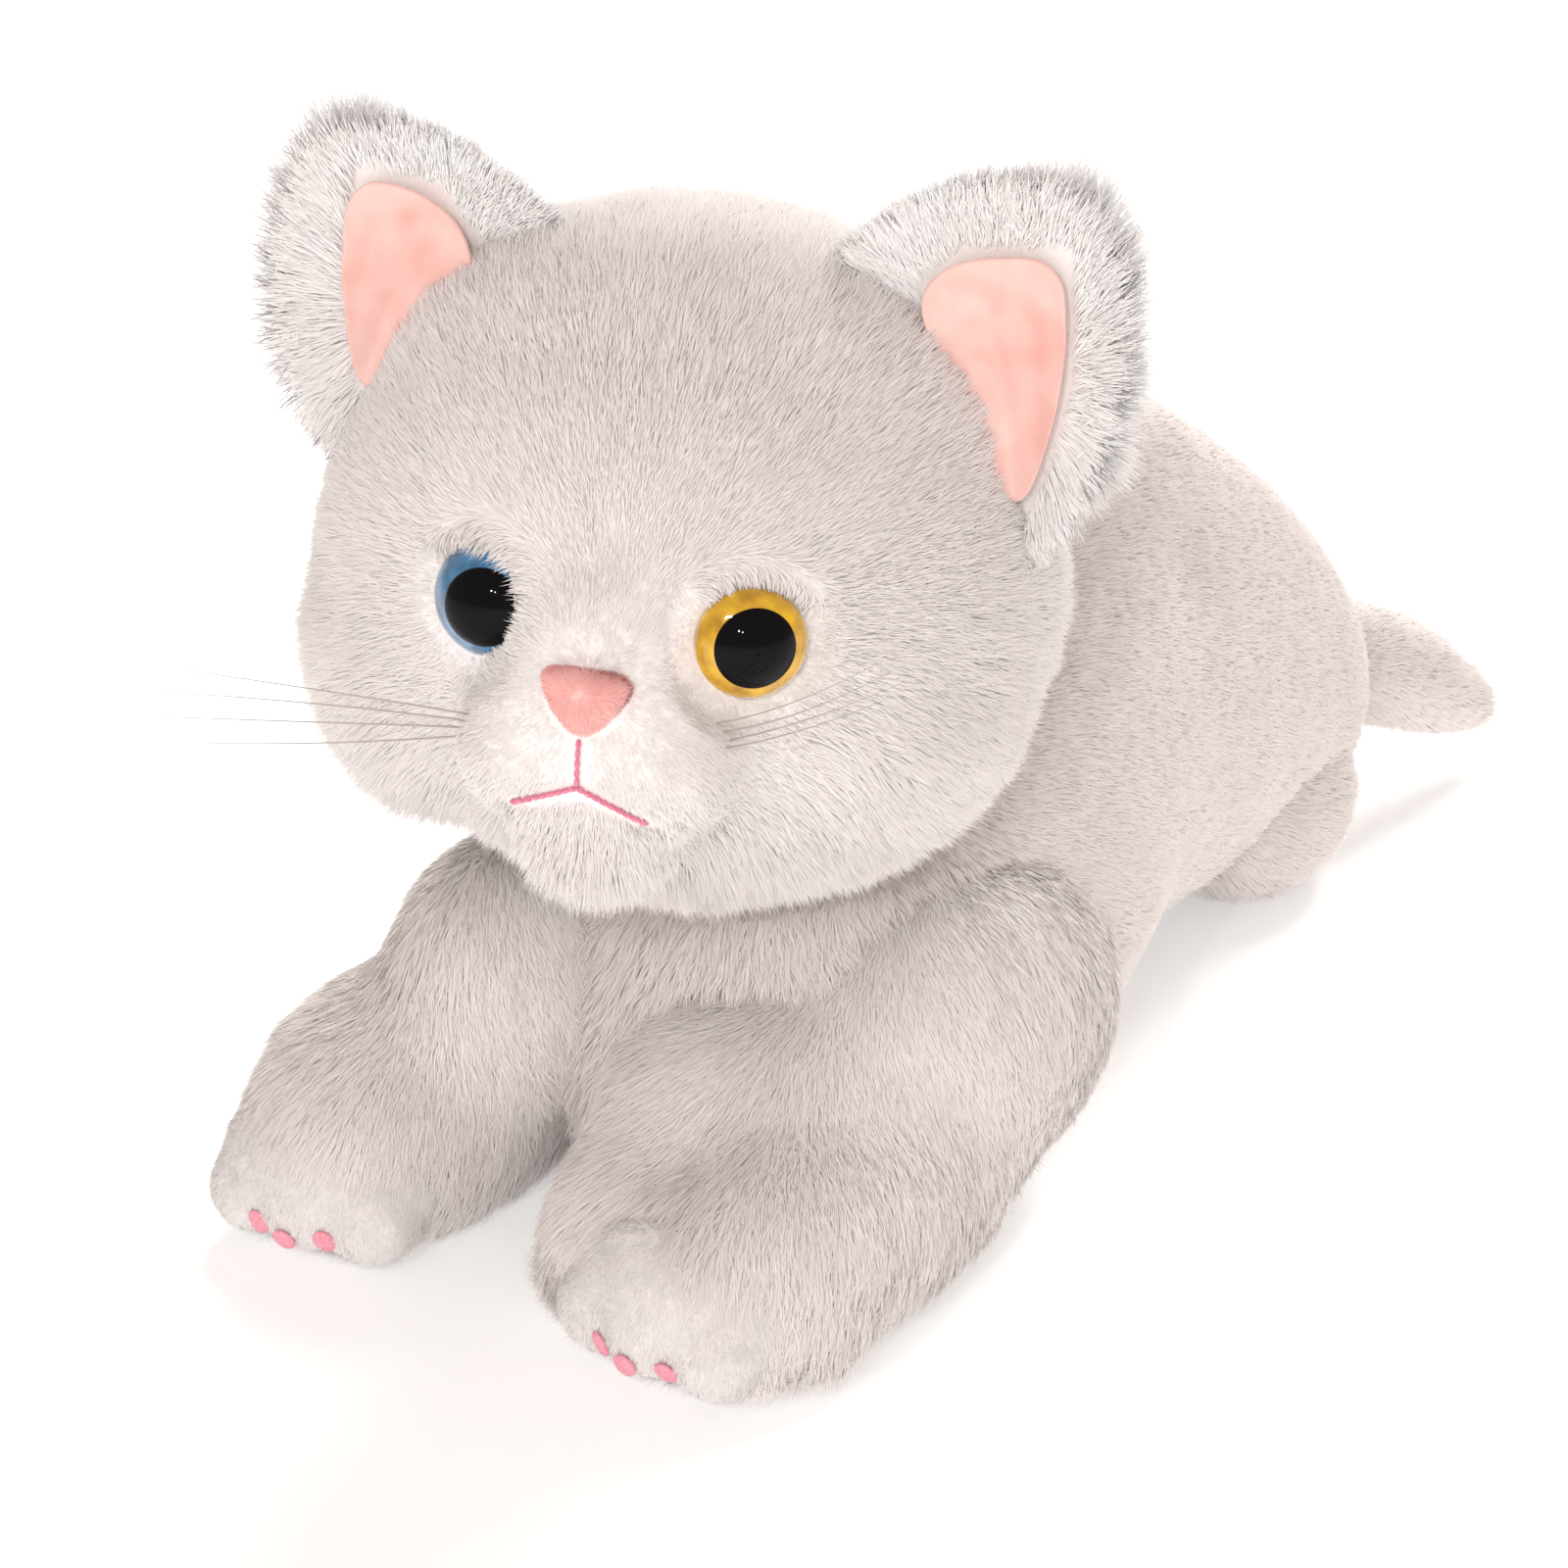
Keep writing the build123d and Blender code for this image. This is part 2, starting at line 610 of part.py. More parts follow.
SPRING_TALL = 7.4
with BuildPart() as back_switch_spring:
    with BuildLine(Plane((bx, by, BUTTON_TOP - 14.05))):
        coil = Helix(pitch=SPRING_TALL / 4.2, height=SPRING_TALL - 0.8, radius=4)
    with BuildSketch(Plane(origin=coil @ 0, z_dir=coil % 0)):
        Circle(0.3)
    sweep(path=coil, is_frenet=True)
save(back_switch_spring, "back_switch_spring")

# ---------------------------------------------------------------- gear drives


def involute(angle):
    """Involute function of an angle in radians."""
    return tan(angle) - angle


def tooth_face(teeth):
    """One tooth of a stub-tooth gear, pointing along +X."""
    pitch_r = MODULE * teeth / 2
    base_r = pitch_r * cos(PRESSURE)
    tip_r = pitch_r + ADDENDUM * MODULE
    root_r = pitch_r - DEDENDUM * MODULE
    half_tooth = pi / (2 * teeth) - BACKLASH / (2 * pitch_r)

    def flank_point(radius, side):
        turn = half_tooth + involute(PRESSURE) - involute(acos(base_r / radius))
        return (radius * cos(turn), side * radius * sin(turn))

    start_r = max(base_r * 1.0005, root_r)
    steps = [start_r + (tip_r - start_r) * step / 4 for step in range(5)]
    foot_turn = half_tooth + involute(PRESSURE) - involute(acos(base_r / start_r))
    foot_r = root_r - 0.25
    with BuildSketch() as tooth:
        with BuildLine():
            right = Spline(*[flank_point(radius, -1) for radius in steps])
            left = Spline(*[flank_point(radius, 1) for radius in steps])
            Line(right @ 1, left @ 1)
            low_right = (foot_r * cos(foot_turn), -foot_r * sin(foot_turn))
            low_left = (foot_r * cos(foot_turn), foot_r * sin(foot_turn))
            Line(right @ 0, low_right)
            Line(low_right, low_left)
            Line(low_left, left @ 0)
        make_face()
    return tooth.sketch


def gear_disc(plane, teeth, thickness, first_tooth, count=None):
    """Toothed disc on a plane; count teeth from the first one's angle, or all of them."""
    face = tooth_face(teeth)
    step = 360 / teeth
    with BuildPart() as disc:
        with BuildSketch(plane):
            Circle(MODULE * teeth / 2 - DEDENDUM * MODULE)
            for index in range(count or teeth):
                with Locations(Location((0, 0, 0), (0, 0, first_tooth + index * step))):
                    add(face)
        extrude(amount=thickness)
    return disc.part


def case_outline(grow):
    """Outline of a gear case around its three axes, as a sketch on its own plane."""
    with BuildSketch() as outline:
        Circle(CASE_R + grow)
        with Locations((0, CENTRES)):
            Circle(CASE_R + grow)
        with Locations((0, CENTRES / 2)):
            Rectangle(2 * (CASE_R + grow), CENTRES)
        with Locations((0, 2 * CENTRES)):
            Rectangle(2 * (9.0 + grow), 2 * (8.0 + grow))
    return outline.sketch


def drive(name, base, first_tooth, teeth):
    """One geared drive on a plane whose origin is on the output axis.

    The idler's axis is CENTRES along the plane's Y and the motor's is CENTRES further.
    The output wheel has teeth only where it meshes: this many, from the first one's angle.
    """
    upright = (Align.CENTER, Align.CENTER, Align.MIN)
    idler_y = CENTRES
    motor_y = 2 * CENTRES

    def at(y, z):
        """Plane at a height of the drive, on one of its axes."""
        return Plane(base.location * Location((0, y, z)))

    with BuildPart(base) as case:
        with BuildSketch(at(0, 0)):
            add(case_outline(0))
        extrude(amount=CASE_SPLIT)
        with BuildSketch(at(0, WALL)):
            add(case_outline(-WALL))
        extrude(amount=CASE_SPLIT, mode=Mode.SUBTRACT)
        # Bosses that carry the output wheel and the idler's axle.
        with Locations((0, 0, 0)):
            Cylinder(5.5, CASE_SPLIT, align=upright)
        with Locations((0, idler_y, 0)):
            Cylinder(3.0, LOW_GEARS[0] - 0.2, align=upright)
        with Locations((0, 0, WALL)):
            Cylinder(OUTPUT_SHAFT_R + RUNNING, CASE_TOP, align=upright, mode=Mode.SUBTRACT)
        with Locations((0, idler_y, WALL)):
            Cylinder(AXLE_R, CASE_TOP, align=upright, mode=Mode.SUBTRACT)
    save(case, f"{name}_case")

    with BuildPart(base) as cover:
        with BuildSketch(at(0, CASE_SPLIT)):
            add(case_outline(0))
        extrude(amount=CASE_TOP - CASE_SPLIT)
        with BuildSketch(at(0, CASE_SPLIT)):
            add(case_outline(-WALL))
        extrude(amount=CASE_TOP - CASE_SPLIT - WALL, mode=Mode.SUBTRACT)
        with Locations((0, 0, CASE_SPLIT)):
            Cylinder(OUTPUT_SHAFT_R + RUNNING, CASE_TOP, align=upright, mode=Mode.SUBTRACT)
        with Locations((0, idler_y, CASE_SPLIT)):
            Cylinder(AXLE_R, CASE_TOP, align=upright, mode=Mode.SUBTRACT)
    save(cover, f"{name}_cover")

    with BuildPart(base) as motor:
        with BuildSketch(at(motor_y, WALL)):
            RectangleRounded(12, 10, 3)
        extrude(amount=MOTOR_TALL)
        with Locations((0, motor_y, WALL + 3)):
            Cylinder(MOTOR_SHAFT_R + RUNNING, MOTOR_TALL, align=upright, mode=Mode.SUBTRACT)
    save(motor, f"{name}_motor")

    # Each mesh is a tooth of the wheel standing in a gap of the pinion at rest.
    wheel_thick = LOW_GEARS[1] - LOW_GEARS[0]
    gap_down = 270 + 180 / PINION_TEETH
    pinion_disc = gear_disc(Plane((0, motor_y, LOW_GEARS[0])), PINION_TEETH, wheel_thick, gap_down)
    with BuildPart(base) as pinion:
        add(pinion_disc)
        with Locations((0, motor_y, WALL + 3.5)):
            Cylinder(MOTOR_SHAFT_R, LOW_GEARS[1] - WALL - 3, align=upright)
    save(pinion, f"{name}_pinion")

    wheel = gear_disc(Plane((0, idler_y, LOW_GEARS[0])), WHEEL_TEETH, wheel_thick, 90)
    small_thick = HIGH_GEARS[1] - LOW_GEARS[1]
    small = gear_disc(Plane((0, idler_y, LOW_GEARS[1])), PINION_TEETH, small_thick, gap_down)
    with BuildPart(base) as idler:
        add(wheel)
        add(small)
        with Locations((0, idler_y, 0)):
            Cylinder(AXLE_R + RUNNING, 2 * CASE_TOP, align=upright, mode=Mode.SUBTRACT)
    save(idler, f"{name}_idler")

    with BuildPart(base) as axle:
        with Locations((0, idler_y, WALL)):
            Cylinder(AXLE_R, CASE_TOP - WALL, align=upright)
    save(axle, f"{name}_axle")

    sector_thick = HIGH_GEARS[1] - HIGH_GEARS[0]
    disc = gear_disc(Plane((0, 0, HIGH_GEARS[0])), WHEEL_TEETH, sector_thick, first_tooth, teeth)
    with BuildPart(base) as output_wheel:
        add(disc)
        with Locations((0, 0, WALL + 0.3)):
            Cylinder(OUTPUT_SHAFT_R, SHAFT_TOP - WALL - 0.3, align=upright)
    save(output_wheel, f"{name}_output_wheel")


tooth_step = 360 / WHEEL_TEETH
head_drive_base = plane_at((*NECK_AXIS, DECK_FRONT_Z))
tail_drive_base = plane_at((*TAIL_AXIS, DECK_REAR_Z), 180)
drive("head_drive", head_drive_base, 90 - 2 * tooth_step, 10)
drive("tail_drive", tail_drive_base, 90 - 4 * tooth_step, 9)

# ---------------------------------------------------------------- neck

cover_top = DECK_FRONT_Z + CASE_TOP
with BuildPart() as neck_bearing:
    with Locations((*NECK_AXIS, cover_top)):
        Cylinder(11.0, 1.5, align=(Align.CENTER, Align.CENTER, Align.MIN))
        Cylinder(NECK_POST_R + 2.4, 15, align=(Align.CENTER, Align.CENTER, Align.MIN))
        Cylinder(
            NECK_POST_R + RUNNING, 40, align=(Align.CENTER, Align.CENTER, Align.MIN), mode=Mode.SUBTRACT
        )
save(neck_bearing, "neck_bearing")

with BuildPart() as neck_post:
    with Locations((*NECK_AXIS, cover_top + 0.4)):
        Cylinder(NECK_POST_R, NECK_PLATE_Z + 5 - cover_top - 0.4, align=(Align.CENTER, Align.CENTER, Align.MIN))
        Cylinder(
            OUTPUT_SHAFT_R,
            SHAFT_TOP - CASE_TOP - 0.4,
            align=(Align.CENTER, Align.CENTER, Align.MIN),
            mode=Mode.SUBTRACT,
        )
    with Locations((*NECK_AXIS, cover_top + 8)):
        Cylinder(3.4, 60, align=(Align.CENTER, Align.CENTER, Align.MIN), mode=Mode.SUBTRACT)
save(neck_post, "neck_post")

with BuildPart() as neck_plate:
    with Locations((*NECK_AXIS, NECK_PLATE_Z)):
        Cylinder(NECK_PLATE_R, 2.4, align=(Align.CENTER, Align.CENTER, Align.MIN))
    with Locations((*NECK_AXIS, NECK_PLATE_Z - 4)):
        Cylinder(NECK_POST_R + 2.4, 9, align=(Align.CENTER, Align.CENTER, Align.MIN))
        Cylinder(NECK_POST_R, 20, align=(Align.CENTER, Align.CENTER, Align.MIN), mode=Mode.SUBTRACT)
    with Locations((*NECK_AXIS, NECK_PLATE_Z)):
        with PolarLocations(NECK_PLATE_R - 5, 8):
            Cylinder(1.6, 8, mode=Mode.SUBTRACT)
save(neck_plate, "neck_plate")

# ---------------------------------------------------------------- head


def head_form(inset):
    """Skull and muzzle in one, drawn in by inset."""
    skull = spheroid(plane_at(SKULL_AT, base=head_place), SKULL[0] - inset, SKULL[1] - inset)
    muzzle = spheroid(plane_at(MUZZLE_AT, base=head_place), MUZZLE[0] - inset, MUZZLE[1] - inset)
    with BuildPart() as form:
        add(skull)
        add(muzzle)
    return form.part


head_outer = head_form(0)
head_lining = head_form(CLOTH)
head_fill = head_form(CLOTH + FILL_GAP)


def eye_plane(side):
    """Plane on the face at an eye, looking out along the eye; side is 1 for the left."""
    point = (side * EYE_AT[0], EYE_AT[1], EYE_AT[2])
    return plane_at(point, side * EYE_OUTWARD, 90, base=head_place)


def dome_middle(low_r, low_z, top_z):
    """Point halfway up a spherical dome between its rim (low_r, low_z) and its top."""
    rise = top_z - low_z
    ball_r = (low_r**2 + rise**2) / (2 * rise)
    half_angle = asin(low_r / ball_r) / 2
    return (ball_r * sin(half_angle), top_z - ball_r * (1 - cos(half_angle)))


def eye_cylinder(side, radius, low, high):
    """Cylinder about an eye's axis."""
    with BuildPart() as form:
        with BuildSketch(eye_plane(side).offset(low)):
            Circle(radius)
        extrude(amount=high - low)
    return form.part


stem_holes = [eye_cylinder(side, EYE_STEM_R, -EYE_STEM - 8, 4) for side in (1, -1)]
washer_bays = [eye_cylinder(side, EYE_R + 0.4, -EYE_STEM - 0.6, -1.5) for side in (1, -1)]

with BuildPart() as head_plush:
    add(head_outer)
    add(head_lining, mode=Mode.SUBTRACT)
    add(neck_opening, mode=Mode.SUBTRACT)
    for hole in stem_holes:
        add(hole, mode=Mode.SUBTRACT)
save(head_plush, "head_plush")

with BuildPart() as head_stuffing:
    add(head_fill)
    add(post(*NECK_AXIS, 50, NECK_PLATE_Z + 6, NECK_HOLE_R + 0.4), mode=Mode.SUBTRACT)
    add(post(*NECK_AXIS, NECK_PLATE_Z - 5, NECK_PLATE_Z + 6, NECK_PLATE_R + 0.4), mode=Mode.SUBTRACT)
    for bay in washer_bays:
        add(bay, mode=Mode.SUBTRACT)
save(head_stuffing, "head_stuffing")

# Eyes: a coloured cup with a stem through the cloth, a black domed pupil and a washer.
washer_solids = []
for name, side in (("left", 1), ("right", -1)):
    place = eye_plane(side)
    up_plane = Plane(place.location * Rotation(90, 0, 0))
    with BuildPart() as cup:
        with BuildSketch(up_plane):
            with BuildLine():
                Polyline((0, -2.0), (EYE_R - 0.6, -2.0), (EYE_R, -1.0), (EYE_R, 0.6))
                ThreePointArc((EYE_R, 0.6), (EYE_R - 1.0, 2.0), (PUPIL_R, 2.9))
                Polyline((PUPIL_R, 2.9), (PUPIL_R, 2.0), (0, 2.0), (0, -2.0))
            make_face()
        revolve(axis=Axis(place.origin, place.z_dir), revolution_arc=360)
        add(head_outer, mode=Mode.SUBTRACT)
        kept = cup.part.solids().sort_by(SortBy.VOLUME)[-1]
    stem = eye_cylinder(side, EYE_STEM_R, -EYE_STEM, 2.0)
    with BuildPart() as iris:
        add(kept)
        add(stem)
    save(iris, f"{name}_iris")

    with BuildPart() as pupil:
        with BuildSketch(up_plane):
            with BuildLine():
                Polyline((0, 5.6), (0, 2.0), (PUPIL_R, 2.0), (PUPIL_R, 3.0))
                ThreePointArc((PUPIL_R, 3.0), dome_middle(PUPIL_R, 3.0, 5.6), (0, 5.6))
            make_face()
        revolve(axis=Axis(place.origin, place.z_dir), revolution_arc=360)
    save(pupil, f"{name}_pupil")

    with BuildPart() as washer:
        with BuildSketch(place.offset(-EYE_STEM + 2)):
            Circle(EYE_R - 1.6)
            Circle(EYE_STEM_R, mode=Mode.SUBTRACT)
        extrude(amount=1.2)
    washer_solids.append(washer.part)

with BuildPart() as eye_washers:
    for solid in washer_solids:
        add(solid)
save(eye_washers, "eye_washers")


# Nose: a small rounded triangle of short pile, point down.
nose_plane = plane_at((0, -50, -12), 0, 90 - 14, base=head_place)
with BuildPart() as nose:
    with BuildSketch(nose_plane) as nose_outline:
        with BuildLine():
            Polyline((-7.8, 5.4), (7.8, 5.4), (7.8, 2.0), (1.8, -6.6), (-1.8, -6.6), (-7.8, 2.0), close=True)
        make_face()
        fillet(nose_outline.vertices().group_by(Axis.Y)[-1], 2.4)
        fillet(nose_outline.vertices().group_by(Axis.Y)[0], 1.5)
    extrude(amount=12.0)
    fillet(nose.faces().sort_by(Axis(nose_plane.origin, nose_plane.z_dir))[-1].edges(), 1.2)
    add(head_outer, mode=Mode.SUBTRACT)
save(nose, "nose")


def muzzle_front(x, z):
    """Distance forward of the muzzle's surface at a place on the face."""
    across = (x - MUZZLE_AT[0]) / MUZZLE[0]
    up = (z - MUZZLE_AT[2]) / MUZZLE[1]
    return MUZZLE_AT[1] - MUZZLE[1] * sqrt(1 - across**2 - up**2)


def stitch(start, end):
    """One embroidered stitch lying on the muzzle between two places (x, z) on the face."""
    middle_x = (start[0] + end[0]) / 2
    middle_z = (start[1] + end[1]) / 2
    middle = (middle_x, muzzle_front(middle_x, middle_z), middle_z)
    first = Vector(start[0], muzzle_front(*start), start[1])
    last = Vector(end[0], muzzle_front(*end), end[1])
    outward = Vector(
        (middle[0] - MUZZLE_AT[0]) / MUZZLE[0] ** 2,
        (middle[1] - MUZZLE_AT[1]) / MUZZLE[1] ** 2,
        (middle[2] - MUZZLE_AT[2]) / MUZZLE[1] ** 2,
    )
    local = Plane(origin=middle, x_dir=last - first, z_dir=outward)
    plane = Plane(head_place * local.location)
    with BuildPart() as thread:
        with BuildSketch(plane.offset(-0.7)):
            SlotOverall((last - first).length + 0.7, STITCH_WIDE)
        extrude(amount=1.4)
        add(head_outer, mode=Mode.SUBTRACT)
    return thread.part


mouth_lines = [
    ((0.0, -20.6), (0.0, -26.6), 3),
    ((0.7, -27.4), (11.3, -31.6), 5),
    ((-0.7, -27.4), (-11.3, -31.6), 5),
]
stitches = []
for start, end, count in mouth_lines:
    for index in range(count):
        low = index / count + 0.02
        high = (index + 1) / count - 0.06
        first = (start[0] + (end[0] - start[0]) * low, start[1] + (end[1] - start[1]) * low)
        last = (start[0] + (end[0] - start[0]) * high, start[1] + (end[1] - start[1]) * high)
        stitches.append(stitch(first, last))
with BuildPart() as mouth_stitching:
    for solid in stitches:
        add(solid)
save(mouth_stitching, "mouth_stitching")

# Ears: a plush back and a satin lining in front of it, each cut away where the skull is.
EAR_OUTLINE = [(24, 50), (44, 64), (62, 63), (69, 44), (60, 8), (44, 4)]
LINING_OUTLINE = [(36, 47), (46, 55.5), (58.5, 55.5), (60.5, 38), (55, 15), (44, 24)]


def ear_solid(side, outline, back_y, front_y, corner):
    """Flat ear layer between two distances along the head's own Y."""
    plane = plane_at((0, back_y, 0), 0, 90, base=head_place)
    with BuildPart() as layer:
        with BuildSketch(plane) as shape:
            with BuildLine():
                Polyline(*[(side * x, z) for x, z in outline], close=True)
            make_face()
            fillet(shape.vertices(), corner)
        extrude(amount=back_y - front_y)
        add(head_outer, mode=Mode.SUBTRACT)
        biggest = layer.part.solids().sort_by(SortBy.VOLUME)[-1]
    return biggest


for name, side in (("left", 1), ("right", -1)):
    ear_back = ear_solid(side, EAR_OUTLINE, EAR_AT_Y + EAR_THICK, EAR_AT_Y, 4)
    with BuildPart() as ear:
        add(ear_back)
    save(ear, f"{name}_ear")
    ear_front = ear_solid(side, LINING_OUTLINE, EAR_AT_Y, EAR_AT_Y - LINING_THICK, 2.5)
    with BuildPart() as ear_lining:
        add(ear_front)
    save(ear_lining, f"{name}_ear_lining")

# Whiskers: stiff clear monofilament, fanned out of both sides of the muzzle.
whisker_solids = []
for side in (1, -1):
    for index in range(WHISKERS):
        spread = index - (WHISKERS - 1) / 2
        root_x = side * 19.2
        root_z = -20.5 + 2.4 * spread
        root = Vector(root_x, muzzle_front(root_x, root_z) - 0.5, root_z)
        tip = root + Vector(side * 45, -6 - 2 * index, 3 + 6.5 * spread)
        middle = (root + tip) * 0.5 + Vector(0, -1.5, 2.0)
        ends = [head_place * Location(tuple(point)) for point in (root, middle, tip)]
        points = [end.position for end in ends]
        with BuildPart() as whisker:
            with BuildLine():
                arc = ThreePointArc(*points)
            with BuildSketch(Plane(origin=arc @ 0, z_dir=arc % 0)):
                Circle(WHISKER_R)
            sweep(path=arc)
        whisker_solids.append(whisker.part)
with BuildPart() as whiskers:
    for solid in whisker_solids:
        add(solid)
save(whiskers, "whiskers")

# ---------------------------------------------------------------- tail

heading = 90 - TAIL_ASIDE
tail_middle = (
    TAIL_AXIS[0] + TAIL_REACH * cos(radians(heading)),
    TAIL_AXIS[1] + TAIL_REACH * sin(radians(heading)),
    TAIL_Z,
)
tail_side_plane = plane_at((*TAIL_AXIS, 0), heading, 90)
arm_low = DECK_REAR_Z + CASE_TOP + 0.6
arm_high = DECK_REAR_Z + SHAFT_TOP
with BuildPart() as tail_spine:
    with Locations((*TAIL_AXIS, arm_low)):
        Cylinder(6.0, arm_high - arm_low, align=(Align.CENTER, Align.CENTER, Align.MIN))
    with BuildSketch(tail_side_plane):
        with BuildLine():
            Polyline(
                (0, arm_low), (26, arm_low), (71, 24.6), (72, 27.0), (27, arm_high), (0, arm_high), close=True
            )
        make_face()
    extrude(amount=2.5, both=True)
    with Locations((*TAIL_AXIS, 30)):
        Cylinder(OUTPUT_SHAFT_R, 40, align=(Align.CENTER, Align.CENTER, Align.MIN), mode=Mode.SUBTRACT)
save(tail_spine, "tail_spine")

tail_solid = spheroid(plane_at(tail_middle, heading, 0, TAIL_DROOP), *TAIL)
with BuildPart() as tail_plush:
    add(tail_solid)
    add(post(*TAIL_AXIS, -20, 80, TAIL_GAP_R), mode=Mode.SUBTRACT)
    add(tail_spine.part, mode=Mode.SUBTRACT)
save(tail_plush, "tail_plush")
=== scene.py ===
import bpy
import json
import math
import numpy as np
from mathutils import Matrix, Vector
from mathutils.bvhtree import BVHTree


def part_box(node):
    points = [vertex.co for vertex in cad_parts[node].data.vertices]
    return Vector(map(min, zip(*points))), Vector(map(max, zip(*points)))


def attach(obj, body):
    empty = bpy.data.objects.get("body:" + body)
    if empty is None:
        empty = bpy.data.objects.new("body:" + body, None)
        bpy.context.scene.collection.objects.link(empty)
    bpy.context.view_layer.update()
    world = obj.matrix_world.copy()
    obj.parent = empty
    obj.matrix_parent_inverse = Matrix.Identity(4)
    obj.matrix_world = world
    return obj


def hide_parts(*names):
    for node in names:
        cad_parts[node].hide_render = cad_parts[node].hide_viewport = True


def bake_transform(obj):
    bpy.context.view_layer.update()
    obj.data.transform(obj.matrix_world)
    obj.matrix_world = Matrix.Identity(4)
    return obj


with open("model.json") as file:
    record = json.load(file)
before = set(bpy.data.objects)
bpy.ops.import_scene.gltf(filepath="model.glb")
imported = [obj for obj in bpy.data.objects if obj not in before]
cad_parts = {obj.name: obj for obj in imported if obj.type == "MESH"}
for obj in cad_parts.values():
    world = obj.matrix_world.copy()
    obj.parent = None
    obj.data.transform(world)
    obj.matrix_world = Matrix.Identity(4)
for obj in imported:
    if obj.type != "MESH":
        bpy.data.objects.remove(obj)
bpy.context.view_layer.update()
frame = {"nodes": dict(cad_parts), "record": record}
nodes = frame["nodes"]

# Lengths are in millimetres until a mesh is written. A plush kitten lies on z = 0 and faces -Y.
MM = 0.001

# ---------------------------------------------------------------- numbers shared with the part

HEAD_CENTRE = np.array([-7.0, -70.7, 125.2])
HEAD_ANGLES = (21.6, -5.5, 3.9)
NECK_AXIS = (-5.0, -62.0)
TAIL_AXIS = np.array([-2.0, 112.0])
TORSO_RIBS = [  # y, centre x, centre z, half width, half height
    (-90, -4, 28, 15, 16),
    (-80, -4, 34, 32, 34),
    (-55, -4, 40, 42, 50),
    (0, -4, 49, 43, 60),
    (45, -7, 63, 38, 61),
    (90, -6, 53, 34, 50),
    (122, -4, 41, 29, 36),
    (140, -2, 35, 11, 13),
]


def rotation(yaw, pitch=0.0, roll=0.0):
    """Turn about Z, after a turn about X, after a turn about Y, in degrees."""
    turns = [
        Matrix.Rotation(math.radians(yaw), 3, "Z"),
        Matrix.Rotation(math.radians(pitch), 3, "X"),
        Matrix.Rotation(math.radians(roll), 3, "Y"),
    ]
    return np.array(turns[0] @ turns[1] @ turns[2])


HEAD_TURN = rotation(*HEAD_ANGLES)


def to_head(points):
    return (points - HEAD_CENTRE) @ HEAD_TURN


def from_head(points):
    return np.asarray(points, float) @ HEAD_TURN.T + HEAD_CENTRE


def centre_of(node):
    """Middle of a CAD node's box, in millimetres."""
    low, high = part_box(node)
    return np.array((low + high) / 2) / MM


def unit(vectors):
    return vectors / np.maximum(np.linalg.norm(vectors, axis=-1, keepdims=True), 1e-9)


def ramp(values, low, high):
    """0 at low, 1 at high, smooth between."""
    t = np.clip((values - low) / (high - low), 0, 1)
    return t * t * (3 - 2 * t)


# ---------------------------------------------------------------- meshes


def make_mesh(name, points, groups, material_index=None):
    """Mesh from points in millimetres and arrays of faces with the same number of corners."""
    mesh = bpy.data.meshes.new(name)
    groups = [np.asarray(g, np.int32) for g in groups if len(g)]
    mesh.vertices.add(len(points))
    mesh.vertices.foreach_set("co", (np.asarray(points) * MM).astype(np.float32).ravel())
    corners = np.concatenate([g.ravel() for g in groups])
    totals = np.concatenate([np.full(len(g), g.shape[1], np.int32) for g in groups])
    starts = np.concatenate([[0], np.cumsum(totals)[:-1]]).astype(np.int32)
    mesh.loops.add(len(corners))
    mesh.loops.foreach_set("vertex_index", corners)
    mesh.polygons.add(len(totals))
    mesh.polygons.foreach_set("loop_start", starts)
    mesh.polygons.foreach_set("loop_total", totals)
    if material_index is not None:
        mesh.polygons.foreach_set("material_index", material_index.astype(np.int32))
    mesh.polygons.foreach_set("use_smooth", np.ones(len(totals), bool))
    mesh.update(calc_edges=True)
    return mesh


def make_object(name, mesh, materials):
    thing = bpy.data.objects.new(name, mesh)
    bpy.context.scene.collection.objects.link(thing)
    for material in materials:
        mesh.materials.append(material)
    return thing


def ball(centre, radii, turn=None, rings=24, segments=40):
    """Points and faces of an ellipsoid."""
    lat = np.linspace(-np.pi / 2, np.pi / 2, rings + 1)[1:-1]
    lon = np.linspace(0, 2 * np.pi, segments, endpoint=False)
    la, lo = np.meshgrid(lat, lon, indexing="ij")
    points = np.stack([np.cos(la) * np.cos(lo), np.cos(la) * np.sin(lo), np.sin(la)], -1)
    points = np.concatenate([points.reshape(-1, 3), [[0, 0, -1], [0, 0, 1]]])
    points = points * np.asarray(radii, float)
    if turn is not None:
        points = points @ turn.T
    return points + np.asarray(centre, float), tube_faces(rings - 1, segments)


def band(row, other, segments):
    """Quads between two rings of points, given by their places in a stack of rings."""
    k = np.arange(segments)
    after = (k + 1) % segments
    here, there = row * segments, other * segments
    return np.stack([here + k, here + after, there + after, there + k], 1)


def tube_faces(rows, segments):
    """Side quads of rows rings, and fans to two end points that come after them."""
    k = np.arange(segments)
    after = (k + 1) % segments
    sides = [band(r, r + 1, segments) for r in range(rows - 1)]
    last = (rows - 1) * segments
    low = np.stack([np.full(segments, rows * segments), after, k], 1)
    high = np.stack([np.full(segments, rows * segments + 1), last + k, last + after], 1)
    return [np.concatenate(sides), np.concatenate([low, high])]


def loft(sections, segments=56):
    """Closed tube through sections, each a centre, a half width vector and a half height vector."""
    turn = np.linspace(0, 2 * np.pi, segments, endpoint=False)
    rings = [c + np.outer(np.cos(turn), a) + np.outer(np.sin(turn), b) for c, a, b in sections]
    ends = np.array([sections[0][0], sections[-1][0]])
    return np.concatenate(rings + [ends]), tube_faces(len(sections), segments)


